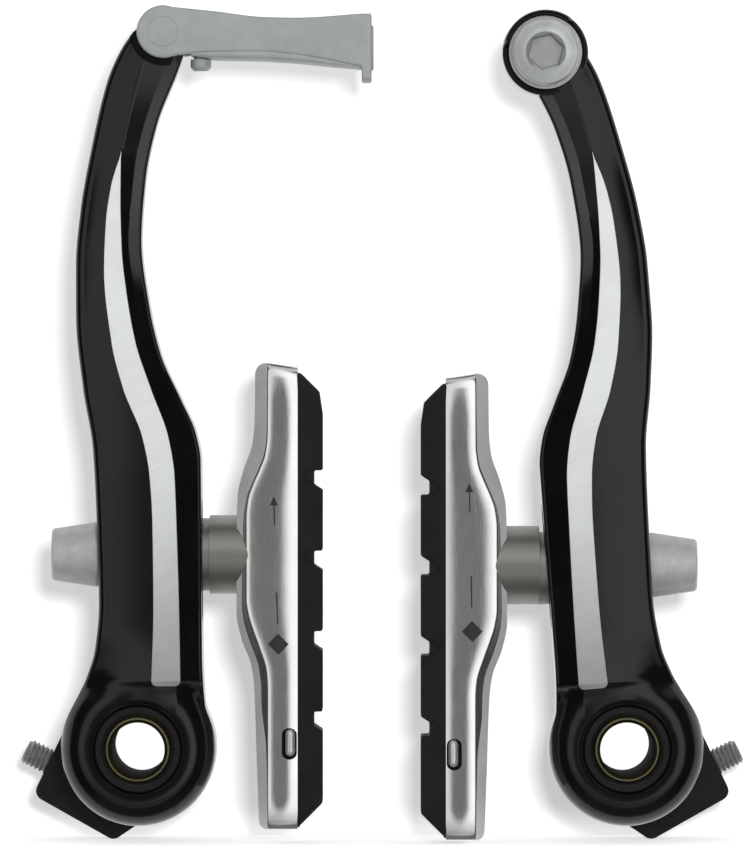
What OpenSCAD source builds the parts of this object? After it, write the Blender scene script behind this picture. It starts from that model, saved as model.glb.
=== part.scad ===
// V-brake: a pair of linear-pull brake arms with their pads, springs, cable link and anchor.
// Frame: +Z up the arms, the brake's front faces -Y, the rear mounting plane is y = 0,
// x = 0 is midway between the two pivots and z = 0 is on their axes.
// Each arm is drawn in an arm frame: u runs from the pivot towards the rim, w is the height
// of a point in front of the mounting plane (y = -w) and z runs up the arm.

/* [Layout] */
// Distance between the two pivot axes
pivot_spacing = 73; // [72:0.5:84]
// Lean of the left arm towards the rim, degrees
left_lean = 0; // [0:0.1:3]
// Lean of the right arm towards the rim, degrees
right_lean = 4.9; // [2:0.1:6]
// Height of the left pad's stud, along the arm
left_pad_z = 29; // [27:0.1:30]
// Height of the right pad's stud, along the arm
right_pad_z = 27.9; // [26:0.1:30]

/* [Arm] */
// Height of the cable link's pin above the pivot
arm_height = 107.2; // [104:0.2:112]
// Height at which the arm bends outwards, above the pad slot
elbow_z = 46; // [45:0.2:49]
// Outward bow of the upper arm
outer_bow = 9.3; // [8:0.1:10]
// Width of the upper arm at the bow
upper_w = 10; // [9:0.1:11]
// Outer edge of the lower arm, from the pivot's axis
lower_out = 6.2; // [6:0.1:7.5]
// Inner face of the lower arm, from the pivot's axis
lower_in = 9.6; // [9:0.1:10.5]
// Back of the lower arm, in front of the mounting plane
arm_back = 9.6; // [9.4:0.1:10]
// Front of the machined strip on the lower arm
strip_front = 26; // [25.6:0.1:27]
// Front of the arm at its top
top_front = 22.3; // [22:0.1:23.5]
// Width of the machined strip on the lower arm
strip_w = 4; // [3:0.1:5]

/* [Hub] */
// Radius of the hub
hub_r = 11.6; // [11:0.1:13]
// Front face of the hub's ring
hub_front = 25; // [24.6:0.1:25.4]
// Back face of the hub
hub_back = 9.2; // [9.1:0.05:9.4]

/* [Pivot bush] */
// Bore radius, for an 8 mm brake boss
bush_bore_r = 4.02; // [3.5:0.01:4.2]
// Outer radius
bush_r = 4.75; // [4.5:0.05:5]
// Wall of the plastic bearing sleeve
sleeve_wall = 0.7; // [0.6:0.05:1]
// Radius of the sleeve's front lip
lip_r = 6.6; // [6.2:0.1:7]
// Thickness of the sleeve's front lip
lip_t = 1.2; // [0.8:0.1:1.6]

/* [Return spring] */
// Wire radius
spring_wire_r = 0.9; // [0.6:0.05:1]
// Mean radius of the coil
coil_r = 7.55; // [7.3:0.05:7.8]
// Radius of the peg on the arm that the leg bears on
peg_r = 1.25; // [1:0.05:1.6]
// Height of the peg above the pivot
peg_z = 43; // [40:0.5:44]

/* [Spring holder] */
// Radius of the holder's ring
holder_r = 10.8; // [10.6:0.1:11.4]
// Reach of the wedge along the tension screw
wedge_reach = 11.4; // [11:0.1:13]
// Depth of the wedge's far side below the pivot, square to the screw
wedge_drop = 14.3; // [12.6:0.1:15]
// Rise of the tension screw outwards, degrees
screw_rise = 25.8; // [20:0.1:32]
// Radius of the tension screw
screw_r = 2; // [1.5:0.05:2.4]
// Length of screw that stands out of the wedge
screw_show = 4; // [2:0.1:7]
// Radius of the locating pin
locating_r = 1.4; // [1.2:0.05:1.5]
// Length of the locating pin behind the mounting plane
locating_len = 4; // [3:0.5:6]

/* [Spherical washers] */
// Radius of the spherical seat between dome and cup washers
seat_r = 8.25; // [8:0.05:8.6]
// Radius of the dome washers
dome_r = 5.45; // [5.2:0.05:5.6]
// Radius of the inner cup washers
inner_cup_r = 5.9; // [5.6:0.05:6.1]
// Radius of the outer cup washers
outer_cup_r = 5.75; // [5.5:0.05:5.9]
// Thickness of the left inner cup behind its seat
left_cup_t = 3.7; // [3:0.05:4.8]
// Thickness of the right inner cup behind its seat
right_cup_t = 4.5; // [3:0.05:4.8]
// Thickness of the outer cups behind their seat
outer_cup_t = 1.35; // [1.1:0.05:1.5]
// Thickness of the flat washer under the nut
flat_t = 1; // [0.8:0.1:1.2]
// Travel of the stud each way in its slot
slot_travel = 5; // [3:0.5:5.5]

/* [Pad] */
// Stud radius, M6
stud_r = 2.95; // [2.4:0.05:3]
// Pad height above the stud
pad_up = 29; // [27:0.5:32]
// Pad height below the stud
pad_down = 41; // [38:0.5:44]
// Half the shoe's width, front to back
shoe_half = 6.3; // [6:0.1:7]
// Shoe thickness from the washer's seat to the rubber
shoe_t = 7.1; // [6.8:0.1:8]
// Shoe thickness at the front face, near its ends
shoe_end_t = 4.6; // [3.8:0.1:5]
// Rise of the shoe's bevelled side beyond its front face
shoe_bevel = 1.8; // [1.2:0.1:2.2]
// Rubber thickness in front of the shoe
rubber_t = 3.7; // [3:0.1:5]
// Depth of the insert's tongue in the shoe
tongue_d = 2.8; // [2.2:0.1:3]
// Width of the rubber's grooves
groove_w = 2.75; // [2:0.1:3.4]
// Depth of the rubber's grooves
groove_d = 1.3; // [0.6:0.05:1.6]
// Distance from groove to groove
groove_pitch = 12; // [11:0.1:12.5]

/* [Shoe nut] */
// Length of the nut
nut_len = 7.2; // [6.4:0.1:9]
// Radius at its seat
nut_r = 4.85; // [4.6:0.05:5.3]
// Radius at its tip
nut_tip_r = 3.9; // [3.6:0.05:4.4]
// Hexagon key size across the flats, also for the anchor bolt
hex_key = 5; // [4:0.5:5]

/* [Cable link] */
// Length from the pin to the outer face of the end plate
link_len = 31.2; // [29:0.1:33]
// Radius of the link's round end
link_end_r = 3.95; // [3.8:0.05:4.4]
// Thickness of the link's side plates
link_plate = 1.7; // [1.4:0.05:2]
// Thickness of the arm's tongue between the plates
arm_tongue = 5.5; // [5:0.1:6]
// Radius of the link pin
link_pin_r = 2.25; // [1.8:0.05:2.5]
// Radius of the hole for the cable guide's nose
noodle_r = 2.6; // [2.3:0.05:2.8]

/* [Cable anchor] */
// Radius of the anchor's boss
boss_r = 6.4; // [6.2:0.05:7]
// Radius of the anchor washer
anchor_washer_r = 5.45; // [5:0.05:5.6]
// Thickness of the anchor washer
anchor_washer_t = 1.6; // [1.2:0.1:2]
// Radius of the anchor bolt's head
head_r = 4.95; // [4.6:0.05:5]
// Height of the anchor bolt's head
head_h = 3; // [2.8:0.1:3.3]

/* [Hidden] */
$fn = 64;
// clearance of a running fit, of a seated face and of a loose part
run_gap = 0.05;
seat_gap = 0.02;
loose_gap = 0.15;
// overrun of a cut past the face it opens
over = 1;

// heights in front of the mounting plane
pad_w = 17.4;
sleeve_front = hub_front - 0.8;
bush_front = hub_front - 0.4;
bush_flange_t = 0.8;
holder_back = bush_flange_t + 0.1;
holder_front = hub_back - 0.2;
screw_w = (holder_back + holder_front) / 2 - 0.75;
arm_top_back = 13;
boss_face = top_front - 1.1;

// sizes that follow
sleeve_bore_r = bush_r + run_gap;
sleeve_r = sleeve_bore_r + sleeve_wall;
seat_u = lower_in / 2;
// far faces of the cup washers, from the seat's centre
left_cup_far = seat_r + left_cup_t;
right_cup_far = seat_r + right_cup_t;
outer_cup_far = seat_r + outer_cup_t;
half_travel = slot_travel + abs(left_pad_z - right_pad_z) / 2;
slot_mid_z = (left_pad_z + right_pad_z) / 2;
stud_slot_r = stud_r + 0.55;
pocket_r = outer_cup_r + 0.6;
// the screw's axis lies a little beyond the spring's tail
screw_y = coil_r + 0.9;
link_half = arm_tongue / 2 + 0.1 + link_plate;
pin_u = 3.7;
tongue_r = 4;
boss_u = pin_u - 0.5;
boss_z = arm_height - 2.5;
rise = arm_height - elbow_z;
strip_start = hub_r - 1.2;
strip_tip = elbow_z + 0.707 * rise;

/* Curves */

function clamp01(t) = min(1, max(0, t));
function lerp(a, b, t) = a + (b - a) * t;
// height at the fraction q of the upper arm
function up(q) = elbow_z + q * rise;

// slope of a monotone curve at the point i: the harmonic mean of the slopes on either side
function secant(p, i) = (p[i + 1][1] - p[i][1]) / (p[i + 1][0] - p[i][0]);
function slope_at(p, i) =
  i == 0 ? secant(p, 0) :
  i == len(p) - 1 ? secant(p, i - 1) :
  let (a = secant(p, i - 1), b = secant(p, i))
  a * b <= 0 ? 0 : 2 * a * b / (a + b);
function span_of(p, x, i = 0) = i >= len(p) - 2 || x <= p[i + 1][0] ? i : span_of(p, x, i + 1);
// smooth curve through points of [position, value], flat beyond its ends
function curve(p, x) =
  let (i = span_of(p, x), h = p[i + 1][0] - p[i][0], t = clamp01((x - p[i][0]) / h))
  p[i][1] * (1 + 2 * t) * (1 - t) * (1 - t) + h * slope_at(p, i) * t * (1 - t) * (1 - t)
  + p[i + 1][1] * t * t * (3 - 2 * t) - h * slope_at(p, i + 1) * t * t * (1 - t);

function arc(cx, cy, r, a0, a1, n) =
  [for (i = [0:n]) let (a = lerp(a0, a1, i / n)) [cx + r * cos(a), cy + r * sin(a)]];

// Rounded corner of the radius r at b, on the way from a to c
function fillet(a, b, c, r) =
  let (to_a = (a - b) / norm(a - b), to_c = (c - b) / norm(c - b),
    half = acos(to_a * to_c) / 2, middle = b + (to_a + to_c) / norm(to_a + to_c) * r / sin(half))
  [for (i = [0:5]) let (side = lerp(1, -1, i / 5) * (90 - half),
    turn = side * sign(to_a[0] * to_c[1] - to_a[1] * to_c[0]), back = (b - middle) / norm(b - middle))
    middle + r * [back[0] * cos(turn) - back[1] * sin(turn), back[0] * sin(turn) + back[1] * cos(turn)]];

// half the width of the hub's circle at the height z
function hub_half(z) = sqrt(max(0, hub_r * hub_r - z * z));

/* The arm's outline and section, as curves of the height z */

low_z = 6.4;
outer_points = [
  [2, -hub_half(2) + 0.6], [low_z, -hub_half(low_z) + 0.05], [10.7, -lower_out - 1.5],
  [15, -lower_out - 0.2], [21.5, -lower_out + 0.4], [33, -lower_out + 0.1],
  [up(-0.02), -lower_out - 0.5], [up(0.13), -outer_bow + 1.1], [up(0.3), -outer_bow + 0.05],
  [up(0.43), -outer_bow], [up(0.56), -outer_bow + 0.65], [up(0.72), -outer_bow + 2.35],
  [up(0.88), -outer_bow + 4.65], [up(0.96), -outer_bow + 6.8], [up(1), -outer_bow + 8.5]
];
inner_points = [
  [2, hub_half(2) - 0.6], [low_z - 0.8, hub_half(low_z - 0.8) - 0.05], [9, lower_in + 0.2],
  [14, lower_in], [elbow_z - 3, lower_in - 0.2], [up(0.02), lower_in - 0.95],
  [up(0.1), lower_in - 3.1], [up(0.21), upper_w - outer_bow + 2.75],
  [up(0.33), upper_w - outer_bow + 1], [up(0.49), upper_w - outer_bow - 0.2],
  [up(0.64), upper_w - outer_bow + 0.4], [up(0.77), upper_w - outer_bow + 2],
  [up(0.91), upper_w - outer_bow + 5.3], [up(1), upper_w - outer_bow + 7.2]
];
strip_mid = lower_in - 5.5;
strip_outer_points = [
  [strip_start, strip_mid - strip_w / 2 - 0.1], [21, strip_mid - strip_w / 2 + 0.2],
  [34, strip_mid - strip_w / 2 + 0.05], [up(-0.08), strip_mid - strip_w / 2 - 0.4],
  [up(0.01), strip_mid - strip_w / 2 - 1.45], [up(0.125), -outer_bow + 7.15],
  [up(0.24), -outer_bow + 5.35], [up(0.42), -outer_bow + 4.2], [up(0.53), -outer_bow + 4.45],
  [up(0.62), -outer_bow + 5.2], [strip_tip, -outer_bow + 6.8]
];
strip_inner_points = [
  [strip_start, strip_mid + strip_w / 2 + 0.4], [21, strip_mid + strip_w / 2 + 0.2],
  [34, strip_mid + strip_w / 2 - 0.2], [up(-0.08), strip_mid + strip_w / 2 - 0.5],
  [up(0.01), strip_mid + strip_w / 2 - 1.4], [up(0.125), -outer_bow + 11.45],
  [up(0.24), -outer_bow + 9.1], [up(0.36), -outer_bow + 7.75], [up(0.47), -outer_bow + 7],
  [up(0.59), -outer_bow + 6.8], [strip_tip, -outer_bow + 6.85]
];
// above the strip its two edges run on together as one ridge
ridge_points = [
  [strip_tip, -outer_bow + 6.82], [up(0.8), -outer_bow + 8], [up(0.92), -outer_bow + 9.9],
  [up(1), -outer_bow + 11.9]
];
// heights of the ridge, the outer corner and the back, and the fall to the inner corner
ridge_front = [
  [2, hub_front - 5], [7.2, hub_front - 1.4], [strip_start - 0.9, strip_front - 0.7],
  [strip_start, strip_front], [elbow_z - 1, strip_front],
  [up(0.23), lerp(strip_front, top_front, 0.22)], [up(0.56), lerp(strip_front, top_front, 0.6)],
  [up(0.9), top_front], [up(1.1), top_front - 0.2]
];
outer_front = [
  [2, hub_front - 7], [low_z, hub_front - 5.6], [12, strip_front - 2.4], [19, strip_front - 1],
  [elbow_z, strip_front - 1.1], [up(0.23), lerp(strip_front, top_front, 0.22) - 1.5],
  [up(0.56), lerp(strip_front, top_front, 0.6) - 1.5], [up(0.9), top_front - 1.2]
];
inner_fall = [
  [2, 0.6], [low_z, 2.8], [12, 2.3], [elbow_z, 2.2], [up(0.25), 2.2], [up(0.5), 2.3],
  [up(0.72), 3], [up(0.92), 3.2]
];
// where the inner facet breaks: its share of the way across, and its share of the fall
break_across = [[elbow_z, 0.5], [up(0.25), 0.5], [up(0.49), 0.34], [up(0.6), 0.55], [up(0.8), 0.66]];
break_fall = [[elbow_z, 0.5], [up(0.25), 0.5], [up(0.49), 0.14], [up(0.6), 0.2], [up(0.8), 0.2]];
back_points = [[elbow_z, arm_back], [up(0.25), arm_back + 1], [up(0.6), arm_top_back - 0.6],
  [up(0.9), arm_top_back]];

function outer_u(z) = curve(outer_points, z);
function inner_u(z) = curve(inner_points, z);
function strip_out_u(z) = z <= strip_tip ? curve(strip_outer_points, z) : curve(ridge_points, z);
function strip_in_u(z) = z <= strip_tip ? curve(strip_inner_points, z) : curve(ridge_points, z) + 0.05;

// Cross-section at the height z, as [u, w] points from the back's outer corner round the front.
// left and right are the edges' places, which the rounded top narrows.
function section(z, left, right) =
  let (
    ridge = curve(ridge_front, z), corner = curve(outer_front, z), fall = curve(inner_fall, z),
    back = curve(back_points, z), hollow = 0.4,
    edge = min(1.2, (right - left) * 0.2), rim = min(0.45, (right - left) * 0.08),
    a = min(max(left + edge + 0.3, strip_out_u(z)), right - 3 * rim),
    b = min(max(a + 0.05, strip_in_u(z)), right - 2 * rim),
    bu = lerp(b, right - rim, curve(break_across, z)), bw = ridge - fall * curve(break_fall, z)
  )
  concat(
    [[left + edge, back], [left + edge * 0.3, back + edge * 0.3], [left, back + edge]],
    [[left, corner - edge], [left + edge * 0.3, corner - edge * 0.3]],
    [for (t = [0:0.34:0.7]) [lerp(left + edge, a, t), lerp(corner, ridge, t * (1.6 - 0.6 * t))]],
    [[a, ridge], [b, ridge], [bu, bw], [right - rim, ridge - fall], [right, ridge - fall - rim]],
    [[right, back + edge], [right - edge * 0.3, back + edge * 0.3], [right - edge, back]],
    [for (t = [0.35, 0.65]) [lerp(right - edge, left + edge, t), back + hollow]]
  );

lower_rings = concat(
  [2, 4.5, low_z, 7.6, strip_start - 0.9, strip_start, 12, 15, 19, 26, 34],
  [elbow_z - 5, elbow_z - 2.5]
);
// Rings of the shank, each as [z, outer edge, inner edge]. A link arm ends in a round tongue
// about the link's pin, and an anchor arm ends inside its boss.
function shank_rings(link_top) = concat(
  [for (z = lower_rings) [z, outer_u(z), inner_u(z)]],
  [for (q = [0:0.0556:0.95]) [up(q), outer_u(up(q)), inner_u(up(q))]],
  !link_top ? [[boss_z, outer_u(boss_z), inner_u(boss_z)]] : concat(
    [[up(1), outer_u(up(1)), inner_u(up(1))]],
    [for (a = [18:18:72]) [up(1) + tongue_r * sin(a), pin_u - tongue_r * cos(a),
      pin_u + tongue_r * cos(a)]],
    [[up(1) + tongue_r * sin(84), pin_u - tongue_r * cos(84), pin_u + tongue_r * cos(84)]]
  )
);

/* Helpers */

// Solid through rings of equal length, closed at both ends
module loft(rings) {
  n = len(rings[0]);
  last = (len(rings) - 1) * n;
  points = [for (ring = rings) each ring];
  sides = [for (i = [0:len(rings) - 2], j = [0:n - 1])
    let (a = i * n + j, b = i * n + (j + 1) % n) each [[a, a + n, b + n], [a, b + n, b]]];
  polyhedron(points, concat(sides, [[for (j = [0:n - 1]) j]], [[for (j = [n - 1:-1:0]) last + j]]));
}

// Tube of radius r along a list of points, with its rings square to the path
module wire(path, r, sides = 8) {
  n = len(path);
  function unit(v) = v / norm(v);
  function along(i) = unit(path[min(i + 1, n - 1)] - path[max(i - 1, 0)]);
  loft([for (i = [0:n - 1])
    let (t = along(i), x = unit(cross(t, abs(t[1]) < 0.8 ? [0, 1, 0] : [1, 0, 0])), y = cross(t, x))
    [for (k = [0:sides - 1]) path[i] + r * (cos(360 * k / sides) * x + sin(360 * k / sides) * y)]]);
}

// Cylinder from height w0 to w1 in front of the mounting plane
module disc(r, w0, w1) {
  translate([0, -w0, 0]) rotate([90, 0, 0]) cylinder(r = r, h = w1 - w0);
}

// Cylinder along u
module rod(r, u0, u1) {
  translate([u0, 0, 0]) rotate([0, 90, 0]) cylinder(r = r, h = u1 - u0);
}

// Flat shape in u and z, given a thickness from w0 to w1
module slab(w0, w1) {
  translate([0, -w0, 0]) rotate([90, 0, 0]) linear_extrude(w1 - w0) children();
}

module on_left() {
  translate([-pivot_spacing / 2, 0, 0]) children();
}

module on_right() {
  translate([pivot_spacing / 2, 0, 0]) mirror([1, 0, 0]) children();
}

module lean(angle) {
  rotate([0, angle, 0]) children();
}

// Origin at the seat's centre, fixed to the arm
module at_arm_seat(pad_z, angle) {
  lean(angle) translate([seat_u, -pad_w, pad_z]) children();
}

// Origin at the seat's centre, with the stud level
module at_pad(pad_z, angle) {
  translate([seat_u * cos(angle) + pad_z * sin(angle), -pad_w,
    pad_z * cos(angle) - seat_u * sin(angle)]) children();
}

/* Arms */

// The hub: ring face, groove, domed shoulder and chamfered back
module hub_blank() {
  ring = lip_r + 0.4;
  dome_start = ring + 0.5;
  shoulder = hub_r - dome_start;
  rotate([90, 0, 0]) rotate_extrude() polygon(concat(
    [[sleeve_r - over, hub_back], [hub_r - 0.8, hub_back], [hub_r, hub_back + 0.8]],
    [for (t = [0:10:90])
      [dome_start + shoulder * cos(t), hub_front - 5.1 + 5 * sin(t)]],
    [[ring + 0.3, hub_front - 0.35], [ring, hub_front - 0.35], [ring, hub_front],
      [sleeve_r - over, hub_front]]
  ));
}

module shank(link_top) {
  loft([for (r = shank_rings(link_top)) [for (p = section(r[0], r[1], r[2])) [p[0], -p[1], r[0]]]]);
}

// Slot for the pad's stud, with the pocket for the outer washers behind it
module pad_slot() {
  translate([0, -pad_w, slot_mid_z]) {
    for (s = [-1, 1]) {
      translate([0, 0, s * half_travel]) rod(stud_slot_r, -over, lower_in + over);
      translate([0, 0, s * (half_travel + 0.6)]) rod(pocket_r, -outer_bow - over, 0);
    }
    translate([-over, -stud_slot_r, -half_travel])
      cube([lower_in + 2 * over, 2 * stud_slot_r, 2 * half_travel]);
    translate([-outer_bow - over, -pocket_r, -half_travel - 0.6])
      cube([outer_bow + over, 2 * pocket_r, 2 * half_travel + 1.2]);
  }
}

module hub_cuts() {
  disc(sleeve_r + seat_gap, hub_back - over, hub_front + over);
  disc(lip_r + 0.05, sleeve_front - lip_t - seat_gap, hub_front + over);
}

// Room for the link's side plates on either side of the tongue, and the pin's bore
module link_cuts() {
  translate([pin_u, 0, arm_height]) {
    disc(link_end_r + 1.15, pad_w + arm_tongue / 2, strip_front);
    disc(link_end_r + 1.15, hub_back, pad_w - arm_tongue / 2);
    disc(link_pin_r + run_gap, hub_back, strip_front);
  }
}

// Boss under the cable anchor, with the raised wall round its upper half
module anchor_boss() {
  translate([boss_u, 0, boss_z]) {
    disc(boss_r, arm_top_back - 0.3, boss_face);
    intersection() {
      disc(boss_r, boss_face - 0.5, boss_face + 3);
      rotate([0, 14, 0]) translate([-boss_r, -strip_front - over, -boss_r * 0.25])
        cube([2 * boss_r, strip_front, 2 * boss_r]);
    }
  }
}

module anchor_cuts() {
  cable_r = 0.9;
  translate([boss_u, 0, boss_z]) {
    disc(anchor_washer_r + loose_gap, boss_face, strip_front + 3 * over);
    disc(stud_r + seat_gap, arm_top_back - over, boss_face + over);
    translate([-boss_r - over, -boss_face - 2 * cable_r, -cable_r])
      cube([2 * boss_r + 2 * over, 2 * cable_r + over, 2 * cable_r]);
  }
}

module spring_peg_hole() {
  translate([peg_u(), 0, peg_z]) disc(peg_r + seat_gap, hub_back - over, arm_back + 4);
}

module arm(link_top) {
  color([0.1, 0.1, 0.11]) difference() {
    union() {
      hub_blank();
      shank(link_top);
      if (!link_top) anchor_boss();
    }
    hub_cuts();
    pad_slot();
    spring_peg_hole();
    if (link_top) link_cuts(); else anchor_cuts();
  }
}

/* Pivots */

module pivot_bush() {
  bevel = 0.3;
  color([0.66, 0.6, 0.35]) rotate([90, 0, 0]) rotate_extrude() polygon([
    [bush_bore_r + bevel, 0], [bush_r + 2, 0], [bush_r + 2, bush_flange_t],
    [bush_r, bush_flange_t], [bush_r, bush_front - bevel / 2], [bush_r - bevel / 2, bush_front],
    [bush_bore_r + bevel, bush_front], [bush_bore_r, bush_front - bevel], [bush_bore_r, bevel]
  ]);
}

module bearing_sleeve() {
  color([0.08, 0.08, 0.08]) rotate([90, 0, 0]) rotate_extrude() polygon([
    [sleeve_bore_r, hub_back + 0.2], [sleeve_r, hub_back + 0.2], [sleeve_r, sleeve_front - lip_t],
    [lip_r, sleeve_front - lip_t], [lip_r, sleeve_front - 0.3], [lip_r - 0.3, sleeve_front],
    [sleeve_r, sleeve_front], [sleeve_bore_r, sleeve_front - 0.4]
  ]);
}

/* Springs and their holders */

// The coil's last turn leaves upwards here, and the leg then leans in along the arm's back
leg_w = holder_front - spring_wire_r - 0.1;
coil_turns = 2 + (90 + screw_rise) / 360;
coil_pitch = 2 * spring_wire_r + 0.1;
// the screw stops here, clear of the coil, and the spring's straight tail reaches it
screw_tip = sqrt(pow(coil_r + spring_wire_r, 2) - pow(screw_y - screw_r, 2)) + 0.4;
// free depth of the bore beyond the screw's tip, and the root of the locating pin
screw_spare = 0.4;
locating_root_r = locating_r + 0.3;
function peg_u() = coil_r - 0.35 - spring_wire_r - peg_r - seat_gap;
function coil_point(a) =
  [coil_r * cos(a), -(leg_w + coil_pitch * a / 360), coil_r * sin(a)];

// Torsion spring: straight from the tension screw's tip, round the bush, then up the back of
// an arm that leans by the angle
module return_spring(angle) {
  coil = [for (i = [0:36]) coil_point(lerp(-360 * coil_turns, -angle, i / 36))];
  tail = coil[0] + (screw_tip - 0.1) * [-cos(screw_rise), 0, sin(screw_rise)];
  leg_u = coil_r - 0.35;
  leg = [[coil_r, 3], [coil_r, 8], [lerp(coil_r, leg_u, 0.5), peg_z * 0.6], [leg_u, peg_z],
    [leg_u, peg_z + 3]];
  color([0.62, 0.63, 0.65]) wire(concat([tail], coil,
    [for (p = leg) [p[0] * cos(angle) + p[1] * sin(angle), coil[36][1],
      p[1] * cos(angle) - p[0] * sin(angle)]]), spring_wire_r);
}

module spring_peg() {
  color([0.7, 0.71, 0.72]) translate([peg_u(), 0, peg_z]) union() {
    disc(peg_r, leg_w - spring_wire_r - 0.2, arm_back + 3.5);
    disc(peg_r + 0.6, leg_w - spring_wire_r - 1.2, leg_w - spring_wire_r - 0.2);
  }
}

// Frame of the tension screw: x runs outwards along it and z is square to it, downwards
module screw_frame() {
  rotate([0, screw_rise, 0]) mirror([1, 0, 0]) mirror([0, 0, 1]) children();
}

module spring_holder() {
  // corners of the wedge that carries the screw
  top_out = [wedge_reach, 0];
  low_out = [wedge_reach, wedge_drop - 0.5];
  low_in = [-2.6, wedge_drop + 0.4];
  side = [-6.6, holder_r - 3];
  color([0.07, 0.07, 0.075]) difference() {
    union() {
      disc(holder_r, holder_back, holder_front);
      screw_frame() slab(holder_back + 0.2, holder_front - 0.4) polygon(concat([[0, 0]],
        fillet([0, 0], top_out, low_out, 1.5), fillet(top_out, low_out, low_in, 1.5),
        fillet(low_out, low_in, side, 1.5), [side]));
    }
    // bore for the bush, with a recess over its flange
    disc(bush_r + seat_gap, holder_back - over, holder_front + over);
    disc(bush_r + 2.2, holder_back - over, bush_flange_t + seat_gap);
    // annular room for the coil, open to the front, and the way out for the leg
    difference() {
      disc(coil_r + spring_wire_r + 0.55, holder_back + 1.4, holder_front + over);
      disc(coil_r - spring_wire_r - 0.5, holder_back, holder_front + 2 * over);
    }
    translate([coil_r - spring_wire_r - 0.4, -holder_front - over, 0])
      cube([holder_r, holder_front - leg_w + spring_wire_r + 0.3 + over, holder_r + over]);
    screw_frame() {
      translate([0, -screw_w, screw_y]) rod(screw_r + seat_gap, screw_tip - screw_spare, wedge_reach + over);
      translate([0, coil_point(-360 * coil_turns)[1], coil_r]) rod(spring_wire_r + 0.2, 1, screw_tip);
    }
    translate(locating_place()) disc(locating_root_r + seat_gap, holder_back - over, screw_w + 2);
  }
}

// The screw bears on the spring's end and stands out of the wedge
module tension_screw() {
  reach = wedge_reach + screw_show;
  color([0.42, 0.43, 0.42]) screw_frame() translate([0, -screw_w, screw_y]) difference() {
    union() {
      rod(screw_r, screw_tip, reach - 0.4);
      translate([reach - 0.4, 0, 0]) rotate([0, 90, 0]) cylinder(r1 = screw_r, r2 = screw_r - 0.4, h = 0.4);
    }
    translate([reach - 1.6, 0, 0]) rotate([0, 90, 0]) cylinder(d = 2 / cos(30), h = 2, $fn = 6);
  }
}

function locating_place() =
  let (along = wedge_reach * 0.35, down = wedge_drop - 2.2)
  [-(along * cos(screw_rise) + down * sin(screw_rise)), 0,
    along * sin(screw_rise) - down * cos(screw_rise)];

// The pin's thicker root is moulded into the holder
module locating_pin() {
  color([0.6, 0.61, 0.62]) translate(locating_place()) union() {
    disc(locating_r, -locating_len, screw_w);
    disc(locating_root_r, holder_back + seat_gap, screw_w + 1.9);
  }
}

/* Spherical washers, drawn about the seat's centre with u towards the pad */

module dome_washer(face) {
  bore = stud_r + 1;
  color([0.52, 0.51, 0.48]) rotate([0, 90, 0]) rotate_extrude() polygon(concat(
    [[bore, face + seat_gap], [dome_r, face + seat_gap]],
    arc(0, 0, seat_r, acos(dome_r / seat_r), acos(bore / seat_r), 8)
  ));
}

module cup_washer(r, far) {
  color([0.47, 0.46, 0.43]) difference() {
    rod(r, seat_r * 0.6, far);
    sphere(r = seat_r + run_gap);
    rod(stud_r + 0.1, 0, far + over);
  }
}

module mirrored_seat() {
  mirror([1, 0, 0]) children();
}

module flat_washer() {
  color([0.6, 0.6, 0.58]) difference() {
    rod(outer_cup_r - 0.25, -outer_cup_far - flat_t, -outer_cup_far);
    rod(stud_r + 0.1, -outer_cup_far - flat_t - over, -outer_cup_far + over);
  }
}

/* Pad: u = 0 at the washer's seat, z = 0 on the stud, the rubber faces +u */

shoe_mid_t = shoe_t + 0.25;
// thickness of the shoe's front face along its length
shoe_profile = [
  [-pad_down, shoe_end_t - 0.3], [-17, shoe_end_t - 0.2], [-12, shoe_end_t + 1.8],
  [-7.6, shoe_mid_t], [7, shoe_mid_t], [12.3, shoe_end_t + 1.8], [17.2, shoe_end_t],
  [pad_up, shoe_end_t]
];
channel_half = shoe_half - 1.6;
insert_start = -pad_down + 0.3;
insert_end = pad_up - 1.8;

function shoe_ring(z, end_cut) =
  let (t = curve(shoe_profile, z) - end_cut, half = shoe_half - end_cut * 0.4)
  [[0, -half], [0, half], [-t, half], [-t - shoe_bevel * 0.55, half * 0.78],
    [-t - shoe_bevel, half * 0.4], [-t - shoe_bevel, -half * 0.4],
    [-t - shoe_bevel * 0.55, -half * 0.78], [-t, -half]];
shoe_rings = concat(
  [[-pad_down, 1.2], [-pad_down + 0.4, 0.5], [-pad_down + 1.3, 0]],
  [for (z = [-30, -21, -18.5, -17, -15, -13.5, -12, -10.5, -9, -7.6, 0, 7, 8.5, 10, 11.5]) [z, 0]],
  [for (z = [13, 14.5, 16, 17.2, 23]) [z, 0]],
  [[pad_up - 1.6, 0], [pad_up - 0.5, 0.6], [pad_up, 1.5]]
);

module shoe_channel() {
  translate([shoe_t, 0, -pad_down - over]) linear_extrude(pad_down + insert_end + over + 0.1)
    polygon([[over, -channel_half + 0.7], [0, -channel_half + 0.7], [-tongue_d - 0.05, -channel_half],
      [-tongue_d - 0.05, channel_half], [0, channel_half - 0.7], [over, channel_half - 0.7]]);
}

pin_z = -29.3;
pin_wire = 0.75;
// place of the retaining pin, in the shoe's web behind the rubber
pin_x = shoe_t - 1.1;

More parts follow.
